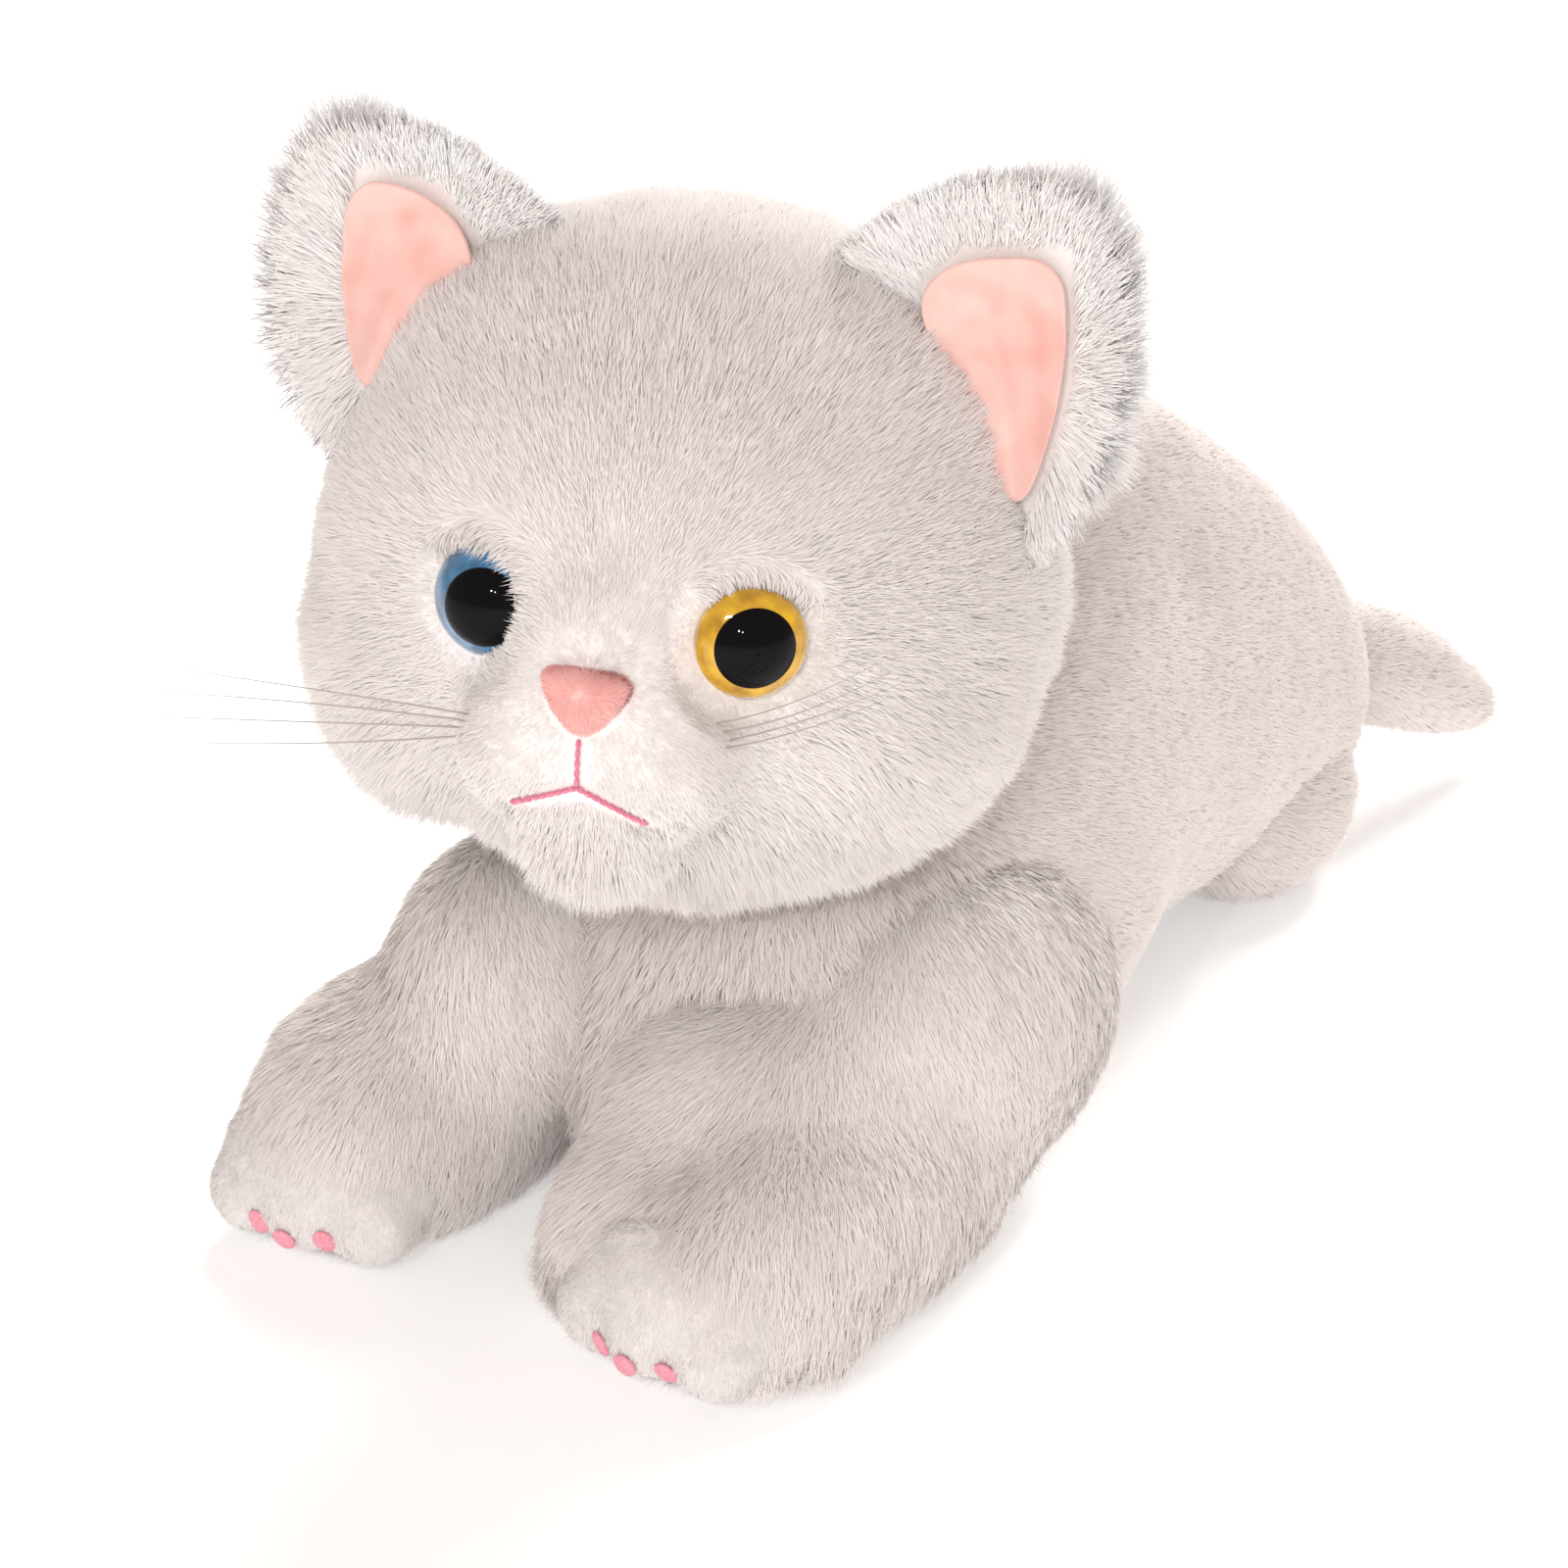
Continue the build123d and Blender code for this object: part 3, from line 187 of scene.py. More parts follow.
def joined(forms):
    """Several closed forms as one set of points and faces."""
    points, groups, shift = [], [], 0
    for form_points, form_groups in forms:
        points.append(form_points)
        groups += [g + shift for g in form_groups]
        shift += len(form_points)
    return np.concatenate(points), groups


def final_mesh(thing):
    """Replaces an object's mesh by what its modifiers make of it."""
    graph = bpy.context.evaluated_depsgraph_get()
    mesh = bpy.data.meshes.new_from_object(thing.evaluated_get(graph))
    thing.modifiers.clear()
    old = thing.data
    thing.data = mesh
    bpy.data.meshes.remove(old)


def fused(name, forms, voxel, smooth, cut=()):
    """One closed skin round several forms, without what cut takes away."""
    skin = make_object(name, make_mesh(name, *joined(forms)), [])
    remesh = skin.modifiers.new("remesh", "REMESH")
    remesh.mode = "VOXEL"
    remesh.voxel_size = voxel * MM
    final_mesh(skin)
    for form in cut:
        tool = make_object("cutter", make_mesh("cutter", *form), [])
        boolean = skin.modifiers.new("cut", "BOOLEAN")
        boolean.operation = "DIFFERENCE"
        boolean.object = tool
        final_mesh(skin)
        bpy.data.objects.remove(tool)
        remesh = skin.modifiers.new("remesh", "REMESH")
        remesh.mode = "VOXEL"
        remesh.voxel_size = voxel * MM
        final_mesh(skin)
    soften = skin.modifiers.new("soften", "SMOOTH")
    soften.factor = 0.5
    soften.iterations = smooth
    final_mesh(skin)
    return skin


def points_of(thing):
    co = np.empty(len(thing.data.vertices) * 3, np.float32)
    thing.data.vertices.foreach_get("co", co)
    return co.reshape(-1, 3).astype(float) / MM


def set_points(thing, points):
    thing.data.vertices.foreach_set("co", (points * MM).astype(np.float32).ravel())
    thing.data.update()


def stuffed(skin, cap, pressure=4.0, frames=16):
    """Swells a skin with cloth pressure, moving no point by more than cap."""
    before = points_of(skin)
    cloth = skin.modifiers.new("cloth", "CLOTH")
    cloth.settings.quality = 5
    cloth.settings.use_pressure = True
    cloth.settings.uniform_pressure_force = pressure
    cloth.settings.effector_weights.gravity = 0.0
    cloth.point_cache.frame_start = 1
    cloth.point_cache.frame_end = frames
    for step in range(1, frames + 1):
        bpy.context.scene.frame_set(step)
    final_mesh(skin)
    move = points_of(skin) - before
    far = np.linalg.norm(move, axis=1, keepdims=True)
    set_points(skin, before + move * np.minimum(1, cap / np.maximum(far, 1e-9)))
    bpy.context.scene.frame_set(1)
    finer = skin.modifiers.new("finer", "SUBSURF")
    finer.levels = 1
    final_mesh(skin)


def rest_on_floor(thing, height=0.4):
    """Flattens what would be under the floor."""
    points = points_of(thing)
    points[:, 2] = np.maximum(points[:, 2], height)
    set_points(thing, points)


def smooth_shaded(thing):
    thing.data.polygons.foreach_set("use_smooth", np.ones(len(thing.data.polygons), bool))
    thing.data.update()


# ---------------------------------------------------------------- materials


def material(name, base, roughness, **sockets):
    """Principled material with plain values."""
    made = bpy.data.materials.new(name)
    made.use_nodes = True
    shader = made.node_tree.nodes["Principled BSDF"]
    shader.inputs["Base Color"].default_value = (*base, 1.0)
    shader.inputs["Roughness"].default_value = roughness
    for socket, value in sockets.items():
        shader.inputs[socket.replace("_", " ")].default_value = value
    return made


def textured(
    name, dark, light, scale, roughness=0.6, bump=0.2, depth=0.2, detail=6.0, stretch=(1, 1, 1), **sockets
):
    """Principled material whose colour and relief come from noise in object space."""
    made = material(name, light, roughness, **sockets)
    tree = made.node_tree
    shader = tree.nodes["Principled BSDF"]
    where = tree.nodes.new("ShaderNodeTexCoord")
    mapping = tree.nodes.new("ShaderNodeMapping")
    mapping.inputs["Scale"].default_value = stretch
    noise = tree.nodes.new("ShaderNodeTexNoise")
    noise.inputs["Scale"].default_value = scale
    noise.inputs["Detail"].default_value = detail
    colours = tree.nodes.new("ShaderNodeValToRGB")
    colours.color_ramp.elements[0].position = 0.3
    colours.color_ramp.elements[0].color = (*dark, 1)
    colours.color_ramp.elements[1].position = 0.7
    colours.color_ramp.elements[1].color = (*light, 1)
    relief = tree.nodes.new("ShaderNodeBump")
    relief.inputs["Strength"].default_value = bump
    relief.inputs["Distance"].default_value = depth * MM
    tree.links.new(where.outputs["Object"], mapping.inputs["Vector"])
    tree.links.new(mapping.outputs["Vector"], noise.inputs["Vector"])
    tree.links.new(noise.outputs["Fac"], colours.inputs["Fac"])
    tree.links.new(colours.outputs["Color"], shader.inputs["Base Color"])
    tree.links.new(noise.outputs["Fac"], relief.inputs["Height"])
    tree.links.new(relief.outputs["Normal"], shader.inputs["Normal"])
    return made


backing = textured("plush_backing", (0.93, 0.90, 0.885), (0.96, 0.94, 0.93), 1500, 0.9, 0.3, 0.3)


TINTS = (("soft", 1.0, 0.2), ("warm", 0.985, 0.2), ("deep", 0.965, 0.2), ("bright", 1.02, 0.3))
PALEST = 0.985


def pile_tints(name, base):
    """Four close tints of one pile."""
    tints = []
    for label, share, shine in TINTS:
        tint = tuple(min(PALEST, c * share) for c in base)
        tints.append(material(f"{name}_{label}", tint, 0.8, Specular_IOR_Level=shine))
    return tints


# The same white plush as the other piles, made paler for the legs: painted light where the head shades them.
LEG_FUR_PAINTED_LIGHT = pile_tints("pile_leg_painted_light", (0.98, 0.938, 0.92))
# The same plush made darker for the head: painted shade where the key light falls full on the face.
HEAD_FUR_PAINTED_SHADE = pile_tints("pile_head_painted_shade", (0.905, 0.868, 0.855))
# The same plush made darker and warmer for the body, haunches and tail: painted shade.
BODY_FUR_PAINTED_SHADE = pile_tints("pile_body_painted_shade", (0.92, 0.868, 0.845))
# The same plush made whitest for the ears: painted light of the rim lights on the ear fringes.
EAR_FUR_PAINTED_LIGHT = pile_tints("pile_ear_painted_light", (0.985, 0.972, 0.965))
ROSE = [
    material(f"nose_{label}", colour, 0.8, Specular_IOR_Level=0.2)
    for label, colour in (
        ("rose", (0.94, 0.52, 0.49)),
        ("pink", (0.95, 0.57, 0.54)),
        ("deep", (0.92, 0.47, 0.45)),
        ("pale", (0.96, 0.63, 0.59)),
    )
]

# ---------------------------------------------------------------- noise in space


def hashed(cells, seed):
    """Three repeatable numbers from 0 to 1 for each whole-number cell."""
    c = cells.astype(np.int64)
    key = (c[:, 0] * 73856093) ^ (c[:, 1] * 19349663) ^ (c[:, 2] * 83492791) ^ (seed * 2654435761)
    out = []
    for k in range(3):
        h = (key + k * 668265263) & 0xFFFFFFFF
        h = ((h ^ (h >> 15)) * 2246822519) & 0xFFFFFFFF
        h = ((h ^ (h >> 13)) * 3266489917) & 0xFFFFFFFF
        out.append(((h ^ (h >> 16)) & 0xFFFFFF) / float(0xFFFFFF))
    return np.stack(out, 1)


def noise(points, size, seed):
    """Smooth noise from 0 to 1, three channels."""
    q = points / size
    base = np.floor(q)
    f = q - base
    f = f * f * (3 - 2 * f)
    total = np.zeros((len(points), 3))
    for dx in (0, 1):
        for dy in (0, 1):
            for dz in (0, 1):
                corner = hashed(base + (dx, dy, dz), seed)
                wx = f[:, 0] if dx else 1 - f[:, 0]
                wy = f[:, 1] if dy else 1 - f[:, 1]
                wz = f[:, 2] if dz else 1 - f[:, 2]
                total += corner * (wx * wy * wz)[:, None]
    return total


def tufts(points, size, seed):
    """For each point, the middle of the tuft it belongs to and three numbers for that tuft."""
    cell = np.floor(points / size)
    best = np.full(len(points), 1e18)
    middle = np.zeros_like(points)
    value = np.zeros_like(points)
    for dx in (-1, 0, 1):
        for dy in (-1, 0, 1):
            for dz in (-1, 0, 1):
                c = cell + (dx, dy, dz)
                q = (c + hashed(c, seed)) * size
                d = ((points - q) ** 2).sum(1)
                near = d < best
                best[near] = d[near]
                middle[near] = q[near]
                value[near] = hashed(c[near], seed + 7)
    return middle, value


# ---------------------------------------------------------------- pile

PIECE_LIMIT = 195000  # triangles in one piece of pile


def surface(thing):
    """Corner points, corner normals and areas of an object's triangles."""
    mesh = thing.data
    mesh.calc_loop_triangles()
    corners = np.empty(len(mesh.loop_triangles) * 3, np.int32)
    mesh.loop_triangles.foreach_get("vertices", corners)
    corners = corners.reshape(-1, 3)
    co = points_of(thing)
    no = np.empty(len(mesh.vertices) * 3, np.float32)
    mesh.vertex_normals.foreach_get("vector", no)
    no = no.reshape(-1, 3).astype(float)
    a, b, c = (co[corners[:, k]] for k in range(3))
    area = np.linalg.norm(np.cross(b - a, c - a), axis=1) / 2
    return co, no, corners, area


FRONT = np.array([0.25, -0.85, 0.45])  # towards the soft light that ear pile lets through


def grow(thing, name, body, per_mm2, field, seed, steps=2, thick=0.24, coats=None):
    """Covers a skin with pile, as field says at each root: length, lean, direction, tufting and density."""
    rng = np.random.default_rng(seed)
    co, no, corners, area = surface(thing)
    count = int(area.sum() * per_mm2)
    pick = rng.choice(len(corners), count, p=area / area.sum())
    u = np.sqrt(rng.random(count))
    v = rng.random(count)
    weights = np.stack([1 - u, u * (1 - v), u * v], 1)[:, :, None]
    p = (co[corners[pick]] * weights).sum(1)
    n = unit((no[corners[pick]] * weights).sum(1))
    f = field(p, n)
    keep = (rng.random(count) < f["density"]) & (f["length"] > 0.15)
    p, n = p[keep], n[keep]
    for key, value in f.items():
        each = value if np.ndim(value) else np.full(count, value)
        f[key] = np.broadcast_to(each, (count, *np.shape(each)[1:]))[keep]
    count = len(p)
    middle, tuft = tufts(p, f.get("tuft_size", np.full(count, 3.0))[0], seed + 1)
    fine = rng.random((count, 3))

    comb = unit(f["comb"]) + (tuft - 0.5) * f["stray"][:, None] + rng.normal(0, 0.16, (count, 3))
    comb = unit(comb - n * (comb * n).sum(1, keepdims=True))
    length = f["length"] * (0.86 + 0.2 * tuft[:, 0]) * (0.76 + 0.36 * fine[:, 0])
    loose = f.get("loose", np.ones(count))
    lean = np.clip(f["lean"] + loose * ((tuft[:, 1] - 0.5) * 0.2 + (fine[:, 1] - 0.5) * 0.3), 0.05, 1.45)
    pull = middle - p
    pull = (pull - n * (pull * n).sum(1, keepdims=True)) * f["gather"][:, None]

    rows = [p - n * 0.4]
    place = p - n * 0.1
    for step in range(1, steps + 1):
        t = step / steps
        angle = lean + 0.35 * (t - 0.5)
        direction = n * np.cos(angle)[:, None] + comb * np.sin(angle)[:, None]
        place = place + direction * (length / steps)[:, None]
        rows.append(place + pull * (t * t * np.minimum(1, length / 4))[:, None])
    rows = [np.concatenate([r[:, :2], np.maximum(r[:, 2:], 0.25)], 1) for r in rows]

    axis = unit(rows[-1] - rows[0])
    flat = unit(np.cross(axis, n) + 1e-6)
    turned = np.cross(axis, flat)
    spin = rng.normal(0, 0.4, count)[:, None]
    side = flat * np.cos(spin) + turned * np.sin(spin)
    half = (thick * (0.7 + 0.6 * fine[:, 2]) * f.get("thick", np.ones(count)))[:, None] / 2
    share = [1.0, 0.95, 0.7] if steps == 3 else [1.0, 0.8]
    stack = []
    for row, wide in zip(rows[:-1], share):
        stack += [row - side * half * wide, row + side * half * wide]
    stack.append(rows[-1])
    per = 2 * steps + 1
    points = np.stack(stack, 1)  # strand, corner, xyz

    upward = (np.cross(side, axis) * n).sum(1) < 0
    facing = unit(np.cross(side, axis))
    facing = np.where(upward[:, None], -facing, facing)
    lit = f.get("frontlit", np.zeros(count))[:, None] * FRONT
    shade = unit(1.1 * n + 0.45 * facing + 0.1 * (tuft - 0.5) + lit)
    tint_noise = noise(p, 9.0, seed + 3)[:, 0] * 0.5 + tuft[:, 2] * 0.25 + fine[:, 1] * 0.25
    # A field's pale moves roots towards the brighter tints, to paint light where the field asks for it.
    tint_noise = tint_noise + f.get("pale", np.zeros(count))
    tint = np.select([tint_noise < 0.40, tint_noise < 0.55, tint_noise < 0.70], [2, 1, 0], 3)

    tris = 2 * (steps - 1) + 1
    parts = max(1, math.ceil(count * tris / PIECE_LIMIT))
    order = np.argsort(np.arctan2(p[:, 0] - p[:, 0].mean(), p[:, 1] - p[:, 1].mean()), kind="stable")
    made = []
    for index, chosen in enumerate(np.array_split(order, parts)):
        m = len(chosen)
        start = np.arange(m)[:, None] * per
        flip = upward[chosen]
        groups, tints = [], []
        for s in range(steps - 1):
            quad = start + np.array([2 * s, 2 * s + 1, 2 * s + 3, 2 * s + 2])
            quad[flip] = quad[flip][:, ::-1]
            groups.append(quad)
            tints.append(tint[chosen])
        tip = start + np.array([2 * steps - 2, 2 * steps - 1, 2 * steps])
        tip[flip] = tip[flip][:, ::-1]
        groups.append(tip)
        tints.append(tint[chosen])
        label = f"{name}_{index + 1}" if parts > 1 else name
        mesh = make_mesh(label, points[chosen].reshape(-1, 3), groups, np.concatenate(tints))
        mesh.normals_split_custom_set_from_vertices(np.repeat(shade[chosen], per, axis=0))
        pile = make_object(label, mesh, coats or LEG_FUR_PAINTED_LIGHT)
        if body:
            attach(pile, body)
        made.append(pile)
    return made


# ---------------------------------------------------------------- skins


def torso_sections():
    """The part's ribs with smooth sections between them."""
    ribs = np.array(TORSO_RIBS, float)
    y = np.concatenate([np.linspace(-90, 140, 60)])
    sections = []
    columns = [smooth_curve(ribs[:, 0], ribs[:, k], y) for k in range(1, 5)]
    for at, x, z, wide, tall in zip(y, *columns):
        sections.append((np.array([x, at, z]), np.array([wide, 0, 0]), np.array([0, 0, tall])))
    x, z = columns[0], columns[1]
    first = (np.array([x[0], -93.5, z[0]]), np.array([6.0, 0, 0]), np.array([0, 0, 7.0]))
    last = (np.array([x[-1], 143.0, z[-1]]), np.array([5.0, 0, 0]), np.array([0, 0, 6.0]))
    return [first] + sections + [last]


def smooth_curve(knots, values, at):
    """Cubic through the knots with slopes that don't overshoot."""
    h = np.diff(knots)
    d = np.diff(values) / h
    slope = np.zeros(len(knots))
    for k in range(1, len(knots) - 1):
        if d[k - 1] * d[k] > 0:
            w1, w2 = 2 * h[k] + h[k - 1], h[k] + 2 * h[k - 1]
            slope[k] = (w1 + w2) / (w1 / d[k - 1] + w2 / d[k])
    slope[0], slope[-1] = d[0], d[-1]
    k = np.clip(np.searchsorted(knots, at) - 1, 0, len(h) - 1)
    t = (at - knots[k]) / h[k]
    a = values[k] * (1 + 2 * t) * (1 - t) ** 2 + values[k + 1] * t * t * (3 - 2 * t)
    return a + h[k] * (slope[k] * t * (1 - t) ** 2 + slope[k + 1] * t * t * (t - 1))


def brick(low, high):
    """Box between two corners."""
    ends = list(zip(low, high))
    corners = np.array([[x, y, z] for z in ends[2] for y in ends[1] for x in ends[0]], float)
    faces = np.array([[0, 2, 3, 1], [4, 5, 7, 6], [0, 1, 5, 4], [2, 6, 7, 3], [0, 4, 6, 2], [1, 3, 7, 5]])
    return corners, [faces]


# The battery box shows through a window in the belly.
box_low, box_high = (np.array(v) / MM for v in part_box("battery_box"))
WINDOW = ((box_low[0] - 1.5, box_low[1] - 1.5), (box_high[0] + 1.5, box_high[1] + 1.5))
window = brick((*WINDOW[0], -40.0), (*WINDOW[1], 9.0))
BOWL_TOP = 124.0
bowl = ball((*NECK_AXIS, BOWL_TOP), (67.0, 67.0, 58.0))
torso = fused("torso_skin", [loft(torso_sections())], 3.0, 4, cut=[bowl, window])
stuffed(torso, 2.0)
rest_on_floor(torso)

LEGS = {  # limb, inner side, upper arm, filling and cuff: centre, yaw, radii; paw: centre, yaw
    "left": (
        ((35, -84, 18), 0, (22, 47, 21)),
        ((11, -90, 15), 0, (22, 37, 20)),
        ((30, -46, 35), 0, (27, 40, 30)),
        ((15, -72, 27), 0, (33, 35, 25)),
        ((24, -109, 8), 0, (33, 20, 11)),
        ((28, -117, 13.6), -4),
    ),
    "right": (
        ((-49, -90, 18), 12, (22, 43, 22)),
        ((-45, -88, 18), 8, (21, 39, 21)),
        ((-37, -77, 39), 0, (24, 30, 27)),
        ((-53, -100, 20), 10, (21, 33, 20)),
        ((-50, -106, 11), 12, (25, 22, 13)),
        ((-49, -118, 13.6), 6),
    ),
}
PAW = (21.5, 16.0, 14.5)
TOES = [(-12.5, -8.5, -4.0), (0.0, -10.5, -3.0), (12.5, -8.5, -4.0)]
legs = {}
for side, (*limbs, paw) in LEGS.items():
    forms = [ball(centre, radii, rotation(yaw)) for centre, yaw, radii in limbs]
    paw_turn = rotation(paw[1])
    forms.append(ball(paw[0], PAW, paw_turn))
    for toe in TOES:
        forms.append(ball(np.array(paw[0]) + paw_turn @ np.array(toe), (7.6, 7.4, 7.2)))
    leg = fused(f"{side}_foreleg_skin", forms, 3.0, 30)
    stuffed(leg, 1.6)
    rest_on_floor(leg)
    legs[side] = leg

haunches = {}
for side, centre, yaw in (("left", (9, 103, 20), -4), ("right", (-20, 102, 20), 5)):
    leg = fused(f"{side}_hind_leg_skin", [ball(centre, (19, 27, 20), rotation(yaw))], 3.5, 3)
    stuffed(leg, 1.5)
    rest_on_floor(leg)
    haunches[side] = leg

HEAD_FORMS = [
    ((0, 3, -3), (62, 53, 53)),
    ((0, 2, 13), (57, 41, 43)),
    ((4, -3, -20), (48, 44, 36)),
    ((-31, -6, -21), (30, 32, 26)),
    ((31, -6, -19), (29, 32, 26)),
    ((0, -40, -20), (24, 20, 20)),
    ((10, -49, -25), (13, 10.5, 10)),
    ((-10, -49, -25), (13, 10.5, 10)),
    ((0, -45, -37), (12, 10, 9)),
    ((0, -47, -7), (12, 10, 13)),
]
head = fused("head_skin", [ball(from_head(c), r, HEAD_TURN) for c, r in HEAD_FORMS], 3.0, 8)
stuffed(head, 1.5)

EYES = {}
EYE_DOMES = []
for side, sign in (("left", 1), ("right", -1)):
    middle = centre_of(f"{side}_pupil")
    outward = HEAD_TURN @ (rotation(sign * 27.0) @ np.array([0.0, -1.0, 0.0]))
    EYES[side] = (middle - outward * 3.8, outward)  # on the face, and the way the eye looks

points = points_of(head)
for middle, outward in EYES.values():
    away = points - middle
    height = away @ outward
    radius = np.linalg.norm(away - np.outer(height, outward), axis=1)
    close = (height > -20) & (radius < 16)
    limit = -0.6 + 3.0 * ramp(radius, 9.0, 16.0)
    drop = np.where(close, np.maximum(height - limit, 0) * (1 - ramp(radius, 13.0, 16.0)), 0)
    points -= np.outer(drop, outward)
set_points(head, points)

# The blue eye is a dome of its own, whose pupil sits towards the nose.
middle, outward = EYES["right"]
eye_up = HEAD_TURN @ np.array([0.0, 0.0, 1.0])
eye_side = np.cross(eye_up, outward)
DOME, DOME_LOW = 10.4, 60.0  # radius and half angle of the eye's dome
for label, node, slot, tilt, spread, lift in (
    ("blue_dome", "right_iris", "blue_eye", 0.0, DOME_LOW, 0.0),
    ("blue_dome_pupil", "right_pupil", "pupil_black", 27.0, 39.0, 0.22),
):
    rows = []
    for share in np.linspace(0.03, 1, 22):
        fall = math.radians(spread) * share
        spin = np.linspace(0, 2 * np.pi, 72, endpoint=False)
        x, y, z = np.sin(fall) * np.cos(spin), np.sin(fall) * np.sin(spin), np.full(72, math.cos(fall))
        lean_to = math.radians(tilt)
        x, z = x * math.cos(lean_to) + z * math.sin(lean_to), z * math.cos(lean_to) - x * math.sin(lean_to)
        z = np.maximum(z, math.cos(math.radians(DOME_LOW)))
        rows.append(np.stack([x, y, z], 1) * (DOME + lift * (1 - share**6)))
    rows.append(rows[-1] * 0.85)
    ends = np.array([rows[0].mean(0), rows[-1].mean(0) - (0, 0, 1.0)])
    local = np.concatenate(rows + [ends])
    basis = np.stack([eye_side, eye_up, outward], 1)
    placed = local @ basis.T + middle + outward * (5.0 - DOME)
    dome = make_object(label, make_mesh(label, placed, tube_faces(len(rows), 72)), [])
    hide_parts(node)
    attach(dome, "head")
    EYE_DOMES.append((dome, slot))

for thing, node, slot, body in (
    (torso, ("torso_plush", "torso_stuffing"), "plush", "torso"),
    (legs["left"], ("left_foreleg",), "plush", "torso"),
    (legs["right"], ("right_foreleg",), "plush", "torso"),
    (haunches["left"], ("left_hind_leg",), "plush", "torso"),
    (haunches["right"], ("right_hind_leg",), "plush", "torso"),
    (head, ("head_plush", "head_stuffing"), "plush", "head"),
):
    thing.data.materials.clear()
    thing.data.materials.append(backing)
    smooth_shaded(thing)
    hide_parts(*node)
    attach(thing, body)

# ---------------------------------------------------------------- pile of the head

NOSE = np.array([0.0, -59.7, -12.0])
MOUTH = [((0.0, -18.6), (0.0, -26.6)), ((0.0, -26.8), (11.3, -31.6)), ((0.0, -26.8), (-11.3, -31.6))]


def line_distance(x, z, start, end):
    a, b = np.array(start), np.array(end)
    d = b - a
    t = np.clip(((x - a[0]) * d[0] + (z - a[1]) * d[1]) / (d @ d), 0, 1)
    return np.hypot(x - a[0] - t * d[0], z - a[1] - t * d[1])


def head_field(p, n):
    q = to_head(p)
    x, y, z = q.T
    front = ramp(-y, -10, 30)
    crown = ramp(z, 20, 48)
    cheek = ramp(np.abs(x), 26, 46) * ramp(-z, -22, 12) + 0.8 * ramp(-z, 24, 44)
    back = ramp(y, -2, 25)
    chin = ramp(-z, 30, 46)
    length = 3.4 + 3.2 * np.clip(crown + cheek, 0, 1.2) + 2.6 * back + 2.6 * chin
    from_nose = np.linalg.norm(q - NOSE, axis=1)
    length = length * (0.45 + 0.55 * ramp(from_nose, 9, 30))
    lean = 1.12 - 0.25 * np.clip(cheek, 0, 1) - 0.35 * chin
    comb = unit(q - (NOSE + (0, 6, 2)))
    comb = comb + np.stack([0 * x, 0.5 * back, -0.5 * back - 0.35 * np.clip(cheek, 0, 1)], 1)
    density = np.ones(len(p))
    for middle, outward in EYES.values():
        away = p - middle
        height = away @ outward
        across = away - np.outer(height, outward)
        radius = np.linalg.norm(across, axis=1)
        near = (height > -14) & (radius < 20)
        density[near & (radius < 8.9)] = 0
        edge = np.where(near, 1 - ramp(radius, 9, 17), 0)
        length = length * (1 - 0.42 * edge)
        radial = to_head(HEAD_CENTRE + unit(across))
        inner = np.sign(outward @ HEAD_TURN[:, 0]) * radial[:, 0] < -0.35
        above = near & (radial[:, 2] > 0.55)
        beside_blue = near & inner & (outward @ HEAD_TURN[:, 0] < 0)
        over = (above | beside_blue).astype(float)[:, None]
        comb = comb * (1 - edge[:, None]) + radial * edge[:, None] * 1.2 * (1 - 2 * over)
        lean = lean + edge * (0.15 - 0.5 * over[:, 0])
        length = length + edge * over[:, 0] * 2.0
    flat_nose = np.hypot(x / 7.0, (z + 12.9) / 5.6)
    on_front = y < -40
    density[(flat_nose < 0.9) & on_front] = 0
    line = np.min([line_distance(x, z, a, b) for a, b in MOUTH], axis=0)
    seam = np.where(on_front, 1 - ramp(line, 0.7, 2.6), 0)
    length = length * (1 - 0.75 * seam)
    lean = lean + 0.3 * seam
    away_from_neck = np.hypot(p[:, 0] - NECK_AXIS[0], p[:, 1] - NECK_AXIS[1])
    density = density * np.where((p[:, 2] < 92) & (away_from_neck < 30), 0, 1)
    return {
        "length": length * (0.85 + 0.3 * noise(p, 14, 5)[:, 0]),
        "lean": lean,
        "comb": comb @ HEAD_TURN.T,
        "density": density,
        "stray": 0.2 + 0.3 * np.clip(crown + cheek, 0, 1) * (1 - 0.3 * front),
        "gather": 0.1 + 0.2 * np.clip(crown + cheek + back, 0, 1),
        # pale moves the crown's pile to the brighter tints: a painted highlight of the rim lights on the top
        # of the head.
        "pale": 0.12 * crown,
    }


grow(head, "head_pile", "head", 8.0, head_field, 11, coats=HEAD_FUR_PAINTED_SHADE)

# ---------------------------------------------------------------- nose and whiskers


def rounded(outline, count):
    """Closed smooth line through an outline's sides, as count evenly spaced points."""
    line = np.array(outline, float)
    for _ in range(4):
        after = np.roll(line, -1, axis=0)
        line = np.stack([0.78 * line + 0.22 * after, 0.22 * line + 0.78 * after], 1).reshape(-1, 2)
    line = np.concatenate([line, line[:1]])
    run = np.concatenate([[0], np.cumsum(np.linalg.norm(np.diff(line, axis=0), axis=1))])
    at = np.linspace(0, run[-1], count, endpoint=False)
    return np.stack([np.interp(at, run, line[:, k]) for k in (0, 1)], 1)


